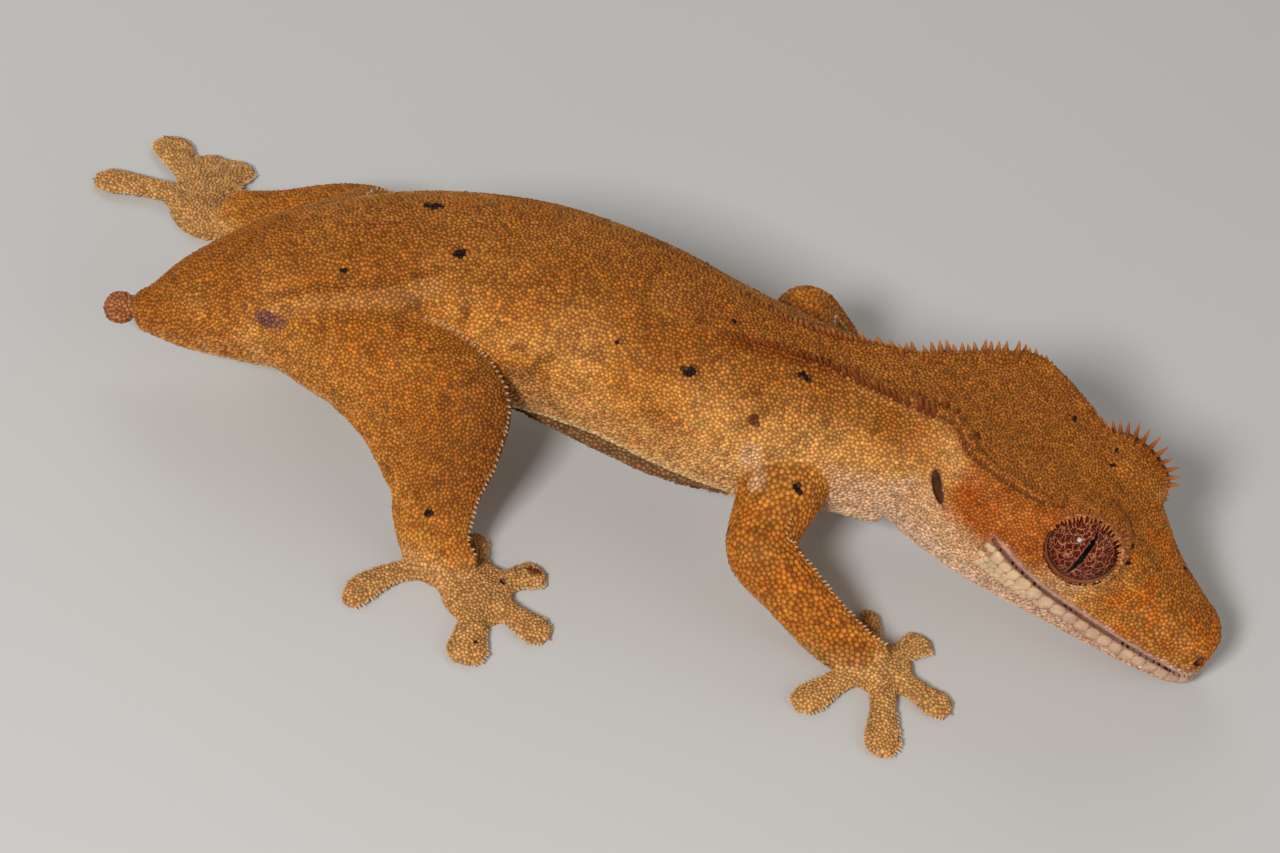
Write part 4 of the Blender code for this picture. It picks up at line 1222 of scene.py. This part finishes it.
def strewn_piece(name, template, roots, axes, sizes, colours, uv, look, foot=0.38):
    """Scales or plates, with painted shade at their feet, as dark as foot sets, and a painted highlight on
    their tops.
    """
    height = template[0][:, 2] / template[0][:, 2].max()
    # Painted shade at the feet, where the scales meet, and a painted highlight on their tops
    shade = np.interp(height, [-0.5, 0.0, 0.6, 1.0], [foot, foot + 0.15, 0.94, 1.18])
    tint = colours[:, None, :] * shade[None, :, None] ** WARM_SHADE
    # The painted highlight also pales the tops towards cream
    painted_highlight = (height.clip(0, 1) ** 3 * 0.6)[None, :, None]
    tint = tint + tint.clip(0, 0.5) * (TIP_HIGHLIGHT - tint) * painted_highlight
    return joined_copies(name, template, roots, axes, sizes, tint, uv, look)


SPIKE = bead(8, [(1.0, -0.35, 0.0), (0.86, 0.2, 0.02), (0.60, 0.5, 0.10), (0.30, 0.8, 0.28), (0, 1.0, 0.48)])
BEAD = bead(6, [(1.0, -0.5, 0.0), (0.84, 0.50, 0.12), (0, 1.0, 0.36)])
SMALL_BEAD = bead(5, [(1.0, -0.5, 0.0), (0.85, 0.50, 0.12), (0, 1.0, 0.34)])


def plate_template():
    """A plate with rounded corners and a domed top."""
    sides = 16
    levels = [(1.0, -0.6), (1.0, 0.2), (0.93, 0.66), (0.72, 0.92), (0.4, 1.0), (0, 1.02)]
    points, faces = bead(sides, [(r, h, 0.0) for r, h in levels])
    turn = np.arctan2(points[:, 1], points[:, 0])
    square = (np.abs(np.cos(turn)) ** 2.6 + np.abs(np.sin(turn)) ** 2.6) ** (-1 / 2.6)
    points[:, :2] *= square[:, None] * 0.97
    return points, faces


PLATE = plate_template()


class Skin:
    """The finished skin with what its pieces ask of it."""

    def __init__(self, obj):
        mesh = obj.data
        self.obj = obj
        self.points = vectors_of(mesh.vertices, "co") * 1000 - SHIFT
        self.normals = vectors_of(mesh.vertices, "normal")
        self.faces = triangles_of(mesh)
        self.part, self.row, self.lie = locate(self.points)

    def carve(self):
        """Presses the folds into the skin, with the fold of the flank overhanging the belly."""
        left_cleft = corner_path(3, 1, -14.0, 12.0)[0] + [0, -0.4, -0.9]
        right, left, thigh, arm = (
            deep * np.exp(-((polyline_distance(self.points, path)[0] / wide) ** 2))
            for path, deep, wide in (
                (FLANK_CLEFT, 0.62, 0.75),
                (left_cleft, 0.5, 0.75),
                (THIGH_CLEFT, 0.4, 0.5),
                (ARM_CLEFT, 0.35, 0.5),
            )
        )
        depth = right + left
        depth += thigh + arm
        self.points -= self.normals * depth[:, None]

    def finish(self):
        """Sinks the skin under its coat, then lays out its map."""
        self.carve()
        self.points -= self.normals * SKIN_DEPTH
        self.points[:, 2] = np.maximum(self.points[:, 2], 0.02)
        mesh = self.obj.data
        mesh.vertices.foreach_set("co", to_world(self.points).astype(np.float32).ravel())
        mesh.update()
        self.tree = BVHTree.FromPolygons(self.points.tolist(), self.faces.tolist())
        corners = self.points[self.faces]
        self.chart = charts(unit(face_crosses(corners)), self.part[self.faces[:, 0]])
        self.corners, self.span = packed_charts(corners.mean(1), self.chart)
        self.spots = spot_table(self.tree)

    def colour(self, points, normals, faces):
        first = self.faces[faces][:, 0]
        return paint(points, normals, self.part[first], self.row[first], self.spots)

    def dress(self, look):
        mesh = self.obj.data
        tint = paint(self.points, self.normals, self.part, self.row, self.spots)
        # Painted shade in the gaps between the scales, warmer as it darkens
        under = np.where(bare(self.points, self.normals), 1.0, COAT_GAP_SHADE)
        set_tint(mesh, tint * under[:, None] ** WARM_SHADE)
        every = np.repeat(self.chart, 3)
        uv = map_place(self.points[self.faces.ravel()], every, self.corners, self.span)
        set_map(mesh, uv)
        mesh.materials.clear()
        mesh.materials.append(look)
        mesh.shade_smooth()

    def settle(self, points):
        """Points laid on the skin, with their normals, faces and places on the map."""
        hits, faces = [], []
        for point in np.asarray(points, float).tolist():
            hit, _, index, _ = self.tree.find_nearest(point)
            hits.append(hit)
            faces.append(index)
        hits, faces = np.array(hits), np.array(faces)
        normals = unit(self.normals[self.faces[faces]].sum(1))
        return hits, normals, faces, map_place(hits, self.chart[faces], self.corners, self.span)


def coat(skin, look, bulb_look):
    """All the small scales, in pieces by part of the body."""
    spots, normals, size = scattered(skin)
    roots, faces, spread = relaxed(spots, normals, size, skin.tree, 3)
    normals = unit(skin.normals[skin.faces[faces]].sum(1))
    keep = ~bare(roots, normals)
    roots, faces, spread, normals = roots[keep], faces[keep], spread[keep], normals[keep]
    first = skin.faces[faces][:, 0]
    part, lie = skin.part[first], skin.lie[first]
    colours = skin.colour(roots, normals, faces)
    count = len(roots)
    colours *= (1 + SHADE_SPREAD * RNG.standard_normal(count).clip(-2, 2))[:, None]
    colours *= 1 + TINT_SPREAD * RNG.standard_normal((count, 3))
    uv = map_place(roots, skin.chart[faces], skin.corners, skin.span)
    radius = np.clip(spread, 0.25, 0.75) * 0.5
    tall = SCALE_TALL + TALL_SPREAD * RNG.standard_normal(count)
    tall = radius * tall.clip(TALL_LEAST, TALL_MOST)
    head = (part == 0) & (in_head(roots)[:, 0] > -19.0)
    tall *= np.where(head, HEAD_TALL, 1.0)
    tubercle = knobs(roots, normals, part, head)
    colours = mixed(colours, TUBERCLE, tubercle * TUBERCLE_TINT)
    tall = tall * (1 + TUBERCLE_TALL * tubercle)
    sizes = np.column_stack([radius * SCALE_LONG, radius * SCALE_WIDE, tall])
    wide = (1 + TUBERCLE_WIDE * tubercle) * (1 + WIDE_SPREAD * RNG.standard_normal(count))
    sizes[:, :2] *= wide[:, None]
    axes = frames_for(normals, lie, TURN_SPREAD * RNG.standard_normal(count))
    bulb = np.linalg.norm(roots - BULB_CENTRE, axis=1) < BULB_RADIUS + 0.25
    six, five = (BEAD, MOST_SIX), (SMALL_BEAD, MOST_FIVE)
    groups = [
        ("bulb", bulb, six, bulb_look, "bulb"),
        ("head", head & ~bulb, six, look, "skin"),
        ("trunk", (part == 0) & ~head & ~bulb, five, look, "skin"),
        ("limbs", (part > 0) & (part <= len(LIMBS)), six, look, "skin"),
        ("feet", part > len(LIMBS), five, look, "skin"),
    ]
    for name, own, (template, most), finish, slot in groups:
        index = np.flatnonzero(own)
        index = index[np.argsort(roots[index, 0], kind="stable")]
        pieces = max(1, math.ceil(len(index) / most))
        for number, group in enumerate(np.array_split(index, pieces)):
            title = f"scales_{name}" + (f"_{number + 1}" if pieces > 1 else "")
            strewn_piece(title, template, roots[group], axes[group], sizes[group], colours[group],
                         uv[group], finish)


def knobs(roots, normals, part, head):
    """Which scales are raised tubercles: scattered over back and flanks, fewer elsewhere."""
    wanted = np.flatnonzero((part == 0) & ~head & (normals[:, 2] > -0.35))
    order = RNG.permutation(wanted)
    tree = tree_of(roots.tolist())
    gone = np.zeros(len(roots), bool)
    raised = np.zeros(len(roots))
    for i in order.tolist():
        if gone[i]:
            continue
        raised[i] = RNG.uniform(0.3, 1.0)
        for hit in tree.find_range(roots[i].tolist(), TUBERCLE_GAP):
            gone[hit[1]] = True
    return raised


def spikes(skin, name, rows, look, tip, base=None):
    """Pointed scales on the skin: rows of root, direction, lean of the tip, length and radius."""
    roots, outs, leans, lengths, radii = (np.array(column, float) for column in zip(*rows))
    hits, normals, faces, uv = skin.settle(roots)
    axes = frames_for(outs, leans, np.zeros(len(outs)))
    sizes = np.column_stack([radii, radii * 0.85, lengths])
    colours = skin.colour(hits, normals, faces) if base is None else base
    share = np.clip(SPIKE[0][:, 2], 0, 1)
    tint = colours[:, None, :] * (0.75 + 0.35 * share)[None, :, None]
    tint = tint + (np.asarray(tip) - tint) * (share**1.3 * 0.75)[None, :, None]
    return joined_copies(name, SPIKE, hits, axes, sizes, tint, uv, look)


def colour_under(skin, rows):
    """The skin's colour at the root of each spine."""
    hits, normals, faces, _ = skin.settle([row[0] for row in rows])
    return skin.colour(hits, normals, faces)


def crest(skin, look):
    """The two rows of crest spines, with smaller ones between and beside them."""
    rows, sides = [], []
    for side, table in ((-1, NEAR_CREST), (1, FAR_CREST)):
        path, frames = corner_path(0, side, -38.0, HEAD_CENTRE[0] - 3.5)
        path, frames = path[::-1], frames[::-1]
        along = run_along(path)
        place = 0.6
        while place < along[-1]:
            point = point_at(place, along, path)
            ahead, left, up = frames[min(len(frames) - 1, np.searchsorted(along, place))].T
            aside = side * left
            big = float(np.interp(point[0], *table)) if point[0] > 3 else 0.42
            length = big * RNG.uniform(0.55, 1.25)
            root = point + aside * RNG.uniform(-0.08, 0.08)
            out = up + aside * (0.45 if side > 0 else 0.05) - ahead * RNG.uniform(0.2, 0.6)
            rows.append((root, out, -ahead + aside * 0.2, length, 0.19 + 0.15 * length))
            for offset in (-0.62, 0.62):
                if big > 0.7 and RNG.random() < 0.8:
                    root = point + aside * offset + ahead * RNG.uniform(-0.2, 0.2)
                    out = up + aside * (0.45 + 0.5 * offset) - ahead * 0.3
                    rows.append((root, out, -ahead, length * 0.5 * RNG.uniform(0.5, 0.9), 0.22))
            place += 0.40 + 0.26 * length
        sides += [side] * (len(rows) - len(sides))
    near = np.array(sides)[:, None] < 0
    grown = smooth_step(2.0, 12.0, np.array([row[0][:1] for row in rows]))
    own = colour_under(skin, rows)
    # Spine bases turn rust-brown, and the near row is painted darker still: painted shade
    base = own + (own * [0.74, 0.56, 0.44] * np.where(near, 0.7, 1.0) - own) * grown
    tip = (own + (np.where(near, NEAR_TIP, FAR_TIP) - own) * grown)[:, None]
    return spikes(skin, "crest_spines", rows, look, tip, base)


def lashes(skin, look):
    """The long spines over each eye, a smaller row behind them, and the scales of the lids' rims."""
    # Count, arc in degrees, distance from the eye's centre, share aside, longest, radius
    kinds = ((11, (28.0, 158.0), 4.7, 0.88, 2.0, 0.34), (15, (12.0, 170.0), 4.7, 0.96, 0.8, 0.26))
    rows = []
    for side, shown, short, thin in ((-1, kinds[:1], 0.5, 0.75), (1, kinds, 1.0, 1.0)):
        centre, axes = eye_frame(side)
        up, out = axes[:, 1], axes[:, 2]
        for many, arc, reach, spread, longest, radius in shown:
            rise = math.sqrt(1 - spread**2)
            for i in range(many):
                share = i / (many - 1)
                turn = math.radians(arc[0] + (arc[1] - arc[0]) * share)
                spoke = spoke_at(axes, turn)
                root = centre + (spread * spoke + rise * out) * reach
                way = spoke * 0.85 + out * (0.55 if longest > 1 else 0.3)
                length = longest * (0.62 + 0.38 * math.sin(math.pi * share)) * RNG.uniform(0.85, 1.12)
                rows.append((root, way, -out * 0.2 + up * 0.3, length * short, radius * thin))
        for i in range(LID_SPINES):
            turn = math.radians(2 + 176 * i / (LID_SPINES - 1) + RNG.uniform(-2, 2))
            spoke = spoke_at(axes, turn)
            length = 0.95 * RNG.uniform(0.6, 1.1) * (0.5 + 0.5 * math.sin(turn))
            root = centre + spoke * LID_SPINE_RING + out * 2.3
            rows.append((root, out * 0.9 - spoke * 0.75, -spoke, length, 0.25))
    base = colour_under(skin, rows) * [0.78, 0.60, 0.48]
    return spikes(skin, "lashes", rows, look, LASH_TIP, base)


def edge_spikes(edge, first, inset, step, way, ahead, length, spread, radius):
    """A row of pointed scales along an edge, one at each step from its first point on."""
    along = run_along(edge)
    rows = []
    for place in np.arange(along[first] + inset, along[-1], step):
        i = min(len(edge) - 1, np.searchsorted(along, place))
        rows.append((edge[i], way[i], ahead[i], length * RNG.uniform(*spread), radius))
    return rows


def fringes(skin, look):
    """The pointed scales along the edges of the limbs and the fringes of the toes."""
    rows = []
    for name in ("leg_right", "arm_right", "leg_left", "arm_left"):
        limb, across = LIMBS[name]
        fine = smooth_rows(limb, 24)[40:]
        ahead = unit(np.gradient(fine[:, :3], axis=0))
        side = unit(np.array(across) - ahead * (ahead @ across)[:, None])
        for sign in (1, -1):
            edge = fine[:, :3] + side * sign * fine[:, 3:4]
            way = side * sign + ahead * 0.25
            rows += edge_spikes(edge, 0, 0.3, 0.52, way, ahead, 0.5, (0.6, 1.1), 0.2)
    for palm, _, _, toes in FEET.values():
        for toe in toes:
            path = smooth_rows(toe_rows(palm, *toe), 12)
            ahead = unit(np.gradient(path[:, :3], axis=0))
            left = np.column_stack([-ahead[:, 1], ahead[:, 0], np.zeros(len(path))])
            for sign in (-1, 1):
                edge = path[:, :3] + left * sign * path[:, 3:4]
                way = left * sign + ahead * 0.3 + [0, 0, 0.15]
                first = len(path) // 3
                found = edge_spikes(edge, first, 0, 0.44, way, ahead, 0.44, (0.7, 1.15), 0.18)
                rows += [(root + [0, 0, 0.1], *rest) for root, *rest in found]
    return spikes(skin, "fringes", rows, look, FRINGE_TIP)


def claws(skin, look):
    rows = []
    for palm, _, _, toes in FEET.values():
        for toe in toes:
            path = toe_rows(palm, *toe)
            ahead = unit(path[-1][:3] - path[-2][:3])
            root = np.array([*path[-1][:2], 0.62]) - 0.1 * ahead
            rows.append((root, ahead + [0, 0, 0.25], (0, 0, -1.0), 0.5, 0.14))
    base = np.tile(CLAW_BASE, (len(rows), 1))
    return spikes(skin, "claws", rows, look, CLAW_TIP, base)


def lip_plates(skin, look):
    """The pale plates under the mouth line: one row of large ones, more rows at its corner."""
    roots, along, sizes = [], [], []
    line = smooth_rows(MOUTH_LINE, 8)
    reach = run_along(line)
    # Start and end along the line, length at rear and front, height likewise, fall and thickness
    rows = [
        (0.9, reach[-1] - 0.5, 0.80, 0.66, 0.86, 0.68, 1.14, 0.2),
        (-0.6, 1.0, 0.42, 0.42, 0.42, 0.42, 0.9, 0.2),
        (-0.4, 8.5, 0.50, 0.38, 0.46, 0.32, 2.26, 0.2),
        (0.2, 6.5, 0.42, 0.34, 0.40, 0.30, 2.98, 0.18),
        (-0.6, 4.0, 0.36, 0.30, 0.34, 0.28, 3.6, 0.16),
    ]
    for start, end, long_rear, long_front, high_rear, high_front, drop, thick in rows:
        place = start
        while place < end:
            share = (place - start) / (end - start)
            long = long_rear + (long_front - long_rear) * share
            high = high_rear + (high_front - high_rear) * share
            if place == start or share < 0.12:
                long, high = long * 0.8, high * 0.85
            place += long
            spot = point_at(place, reach, line)
            onward = point_at(place + 0.3, reach, line) - point_at(place - 0.3, reach, line)
            fall = drop * (1 - 0.2 * share)
            for side in (-1, 1):
                roots.append(head_point(spot - [0, 0.3 * (drop > 1), fall], side))
                along.append(head_direction(onward, side))
                sizes.append((long * 1.10, high * RNG.uniform(0.98, 1.08), thick))
            place += long
    roots.append(head_point((17.0, 0, -10.2)))
    along.append(HEAD_FRAME[:, 1])
    sizes.append((0.8, 0.5, 0.28))
    hits, normals, _, uv = skin.settle(roots)
    lean = np.where(hits[:, 1] < head_point((0, 0, 0))[1], 0.3, -0.3)
    axes = frames_for(normals, np.array(along), lean)
    count = len(hits)
    colours = WHITE_LIP * (1 + 0.06 * RNG.standard_normal(count))[:, None]
    rear = smooth_step(4.0, -7.0, in_head(hits)[:, 0])
    colours = mixed(colours, LIP_CORNER, rear * 0.55)
    colours = mixed(colours, PINK, RNG.random(count) * 0.35)
    # The plates' painted shade at their feet is lighter than the scales'
    return strewn_piece("lip_plates", PLATE, hits, axes, np.array(sizes), colours, uv, look, foot=0.6)


def lid_rims(skin, look):
    """The smooth rim of the lids, against the eye: a ring of small circles round each, painted dark on its
    upper side as painted shade under the lashes.
    """
    points, faces, tints, uvs = [], [], [], []
    around, thick = 96, 10
    for side in (-1, 1):
        centre, axes = eye_frame(side)
        out = axes[:, 2]
        start = len(points) * around * thick
        ring = []
        for i in range(around):
            turn = 2 * math.pi * i / around
            spoke = spoke_at(axes, turn)
            tube = LID_TUBE - 0.03 * math.sin(turn)
            middle = centre + spoke * LID_RING + out * LID_AHEAD
            for j in range(thick):
                bend = 2 * math.pi * j / thick
                ring.append(middle + tube * (spoke * math.cos(bend) + out * math.sin(bend)))
        for i in range(around):
            for j in range(thick):
                here, onward = i * thick, (i + 1) % around * thick
                beside = (j + 1) % thick
                quad = (here + j, here + beside, onward + beside, onward + j)
                faces.append([start + v for v in (quad if side < 0 else quad[::-1])])
        # Painted shade on the rim's upper side, under the lashes, fading to its own pale pink-brown below
        low_share = 0.5 - 0.5 * np.sin(np.repeat(np.arange(around) / around, thick) * 2 * math.pi)
        points.append(np.array(ring))
        tints.append(mixed(LID_SHADE, LID_PALE, low_share))
        uvs.append(skin.settle(ring)[3])
    return mesh_object("lid_rims", np.vstack(points), np.array(faces), np.vstack(tints),
                       np.vstack(uvs), look)


def eye(side, look):
    """An eye with its axis at the pole, and its own flat coordinates for the iris."""
    centre, axes = eye_frame(side)
    around, down = 96, 64
    points, flat = [], []
    for j in range(down + 1):
        polar = math.pi * j / down
        for i in range(around):
            turn = 2 * math.pi * i / around
            spoke = spoke_at(axes, turn)
            place = spoke * math.sin(polar) + axes[:, 2] * math.cos(polar)
            points.append(centre + place * EYE_RADIUS)
            flat.append((polar * math.cos(turn), polar * math.sin(turn), polar))
    faces = []
    for j in range(down):
        for i in range(around):
            a, b = j * around + i, j * around + (i + 1) % around
            quad = (a, b, b + around, a + around)
            faces.append(quad[::-1] if side > 0 else quad)
    points, flat = np.array(points), np.array(flat) * EYE_RADIUS
    name = "eyeball_right" if side < 0 else "eyeball_left"
    uv = np.column_stack([0.5 + flat[:, 0] / 30, 0.5 + flat[:, 1] / 30])
    made = mesh_object(name, points, np.array(faces), np.ones((len(points), 3)), uv, look)
    layer = made.data.attributes.new("iris", "FLOAT_VECTOR", "POINT")
    layer.data.foreach_set("vector", flat.astype(np.float32).ravel())
    bm = bmesh.new()
    bm.from_mesh(made.data)
    bmesh.ops.remove_doubles(bm, verts=bm.verts, dist=1e-7)
    bm.to_mesh(made.data)
    bm.free()
    return made


class Look:
    """A material built node by node."""

    def __init__(self, name):
        self.material = bpy.data.materials.new(name)
        self.material.use_nodes = True
        self.tree = self.material.node_tree

    def feed(self, node, sockets):
        """Sets a node's sockets to numbers or colours, or joins them to other nodes."""
        for key, value in sockets.items():
            if isinstance(value, (int, float)):
                node.inputs[key].default_value = value
            elif isinstance(value, (tuple, np.ndarray)):
                node.inputs[key].default_value = (*value, 1.0)
            else:
                self.tree.links.new(value, node.inputs[key])

    def node(self, kind, sockets=(), **values):
        made = self.tree.nodes.new(kind)
        for key, value in values.items():
            setattr(made, key, value)
        self.feed(made, dict(sockets))
        return made

    def surface(self, **sockets):
        """Feeds the shader: a socket's name is given with lines under it for its spaces."""
        named = {key.replace("_", " "): value for key, value in sockets.items()}
        self.feed(self.tree.nodes["Principled BSDF"], named)

    def math(self, operation, first, second=0.0):
        return self.node("ShaderNodeMath", {0: first, 1: second}, operation=operation).outputs[0]

    def mix(self, share, first, second, blend_type="MIX"):
        sockets = {0: share, 6: first, 7: second}
        return self.node("ShaderNodeMix", sockets, data_type="RGBA", blend_type=blend_type).outputs[2]

    def ramp(self, source, low_end, high_end, low_value=0.0, high_value=1.0):
        sockets = {0: source, 1: low_end, 2: high_end, 3: low_value, 4: high_value}
        return self.node("ShaderNodeMapRange", sockets, interpolation_type="SMOOTHSTEP").outputs[0]

    def noise(self, vector, scale, detail, output="Fac"):
        sockets = {"Vector": vector, "Scale": scale, "Detail": detail}
        return self.node("ShaderNodeTexNoise", sockets).outputs[output]

    def net(self, vector, scale, line, open_part):
        """A net of lines: dark up to one distance from them, and light from the next on."""
        sockets = {"Vector": vector, "Scale": scale}
        cells = self.node("ShaderNodeTexVoronoi", sockets, feature="DISTANCE_TO_EDGE")
        return self.ramp(cells.outputs[0], line, open_part)

    def bump(self, height, strength, distance):
        sockets = {"Strength": strength, "Distance": distance, "Height": height}
        self.surface(Normal=self.node("ShaderNodeBump", sockets).outputs[0])

    def place(self):
        return self.node("ShaderNodeTexCoord").outputs["Object"]

    def attribute(self, name, output):
        return self.node("ShaderNodeAttribute", attribute_name=name).outputs[output]


def hide_look(name, rough=(0.48, 0.7), bump=0.25, specular=0.13):
    """Skin, scales, plates and claws: the painted colour with fine mottling and a worn gloss."""
    look = Look(name)
    place = look.place()
    tint = look.attribute("tint", "Color")
    wide = look.noise(place, 900.0, 4.0)
    fine = look.noise(place, 5200.0, 2.0)
    value = look.ramp(wide, 0.32, 0.68, 0.84, 1.14)
    value = look.math("MULTIPLY", value, look.ramp(fine, 0.3, 0.7, 0.90, 1.08))
    grey = look.node("ShaderNodeCombineColor", {0: value, 1: value, 2: value}).outputs[0]
    look.surface(
        Base_Color=look.mix(1.0, tint, grey, "MULTIPLY"),
        Roughness=look.ramp(wide, 0.3, 0.7, *rough),
        Specular_IOR_Level=specular,
    )
    look.bump(fine, bump, 0.00005)
    return look.material


IRIS_DARK, IRIS_DARK_RED = srgb(40, 7, 4), srgb(92, 24, 13)
IRIS_PALE, IRIS_PALE_RED = srgb(206, 138, 94), srgb(136, 64, 38)
PUPIL_EDGE = srgb(150, 84, 62)
EYE_RIM = srgb(26, 10, 9)
PUPIL_BLACK = srgb(6, 4, 4)
# The pupil's half-length and greatest half-width in millimetres, and how far its edge waves
PUPIL_LONG, PUPIL_WIDE, PUPIL_WAVE = 3.1, 0.27, 0.55


def eye_look():
    """Maroon iris with a pale net of lines, a wavy slit pupil, and a wet surface."""
    look = Look("eye")
    flat = look.attribute("iris", "Vector")
    across, along, polar = look.node("ShaderNodeSeparateXYZ", {0: flat}).outputs
    wave = look.math("SUBTRACT", look.noise(flat, 1.6, 2.0), 0.5)
    across = look.math("ADD", across, look.math("MULTIPLY", wave, PUPIL_WAVE))
    share = look.math("DIVIDE", along, PUPIL_LONG)
    width = look.math("SUBTRACT", 1.0, look.math("MULTIPLY", share, share))
    width = look.math("MULTIPLY", width, PUPIL_WIDE)
    gap = look.math("SUBTRACT", look.math("ABSOLUTE", across), width)
    edge = look.ramp(look.math("ABSOLUTE", look.math("SUBTRACT", gap, 0.1)), 0.09, 0.02)
    stretch = look.node("ShaderNodeCombineXYZ", {0: look.math("MULTIPLY", across, 1.5), 1: along})
    shaken = look.noise(flat, 1.3, 3.0, "Color")
    warp = look.node("ShaderNodeVectorMath", {0: stretch.outputs[0], 1: shaken}, operation="ADD")
    wide_net = look.math("MULTIPLY", look.net(warp.outputs[0], 1.15, 0.02, 0.085), 0.62)
    fine_net = look.math("MULTIPLY", look.net(warp.outputs[0], 2.5, 0.01, 0.07), 0.38)
    net = look.math("ADD", wide_net, fine_net)
    patch = look.noise(flat, 0.8, 2.0)
    dark = look.mix(patch, IRIS_DARK, IRIS_DARK_RED)
    pale = look.mix(patch, IRIS_PALE_RED, IRIS_PALE)
    colour = look.mix(look.ramp(net, 0.25, 0.85), pale, dark)
    colour = look.mix(look.math("MULTIPLY", edge, 0.45), colour, PUPIL_EDGE)
    colour = look.mix(look.ramp(polar, 3.6, 4.6), colour, EYE_RIM)
    colour = look.mix(look.ramp(gap, 0.06, 0.0), colour, PUPIL_BLACK)
    look.surface(
        Base_Color=colour,
        Roughness=0.22,
        Coat_Weight=0.12,
        Specular_IOR_Level=0.05,
        Coat_Roughness=0.03,
    )
    look.bump(net, -0.5, 0.0001)
    return look.material


def floor():
    bpy.ops.mesh.primitive_circle_add(vertices=96, radius=3.0, fill_type="NGON", location=(0, 0, 0))
    made = bpy.context.object
    made.name = "floor"
    look = Look("floor")
    colour = look.mix(look.noise(look.place(), 9.0, 2.0), (0.57, 0.56, 0.54), (0.62, 0.61, 0.59))
    look.surface(Base_Color=colour, Roughness=0.7)
    made.data.materials.append(look.material)


def lights():
    """Three square lights, each with its place, width and strength, and a soft sky."""
    for name, place, size, energy in (
        ("key", (-0.18, -0.53, 0.45), 0.13, 4.3),
        ("fill", (0.62, -0.30, 0.34), 0.6, 1.0),
        ("rim", (-0.15, 0.62, 0.50), 0.5, 1.1),
    ):
        light = bpy.data.lights.new(name, "AREA")
        light.size = size
        light.energy = energy
        made = bpy.data.objects.new(name, light)
        made.location = place
        aim = Vector((0, 0, 0.01)) - Vector(place)
        made.rotation_euler = aim.to_track_quat("-Z", "Y").to_euler()
        bpy.context.scene.collection.objects.link(made)
    world = bpy.data.worlds.new("soft")
    world.use_nodes = True
    sky = world.node_tree.nodes["Background"]
    sky.inputs[0].default_value = (1.0, 0.97, 0.93, 1)
    sky.inputs[1].default_value = 0.20
    bpy.context.scene.world = world
    bpy.context.scene.view_settings.view_transform = "Standard"


def camera():
    turn, back = camera_axes()
    data = bpy.data.cameras.new("camera")
    data.lens = CAMERA_LENS
    data.sensor_width = SENSOR
    data.clip_start = 0.01
    made = bpy.data.objects.new("camera", data)
    place = Vector(to_world(np.array(CAMERA_TARGET))) + back * CAMERA_DISTANCE / 1000
    made.matrix_world = Matrix.Translation(place) @ turn.to_4x4()
    bpy.context.scene.collection.objects.link(made)
    bpy.context.scene.camera = made


def main():
    flesh = [n for n in frame["nodes"] if not n.startswith("eye")]
    skin = Skin(fused_skin())
    skin.finish()
    hide = hide_look("hide")
    skin.dress(hide_look("under_skin", (0.5, 0.7), 0.4, 0.1))
    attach(skin.obj, "root")
    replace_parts(skin.obj, *flesh)
    coat(skin, hide, hide_look("bulb_hide", (0.3, 0.5)))
    crest(skin, hide)
    lashes(skin, hide)
    fringes(skin, hide)
    claws(skin, hide_look("claw", (0.25, 0.4), 0.1))
    lip_plates(skin, hide_look("lip", (0.28, 0.45), 0.15, 0.3))
    lid_rims(skin, hide_look("lid", (0.25, 0.4), 0.1))
    iris = eye_look()
    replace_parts(eye(-1, iris), "eye_right")
    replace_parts(eye(1, iris), "eye_left")
    floor()
    lights()
    camera()


main()
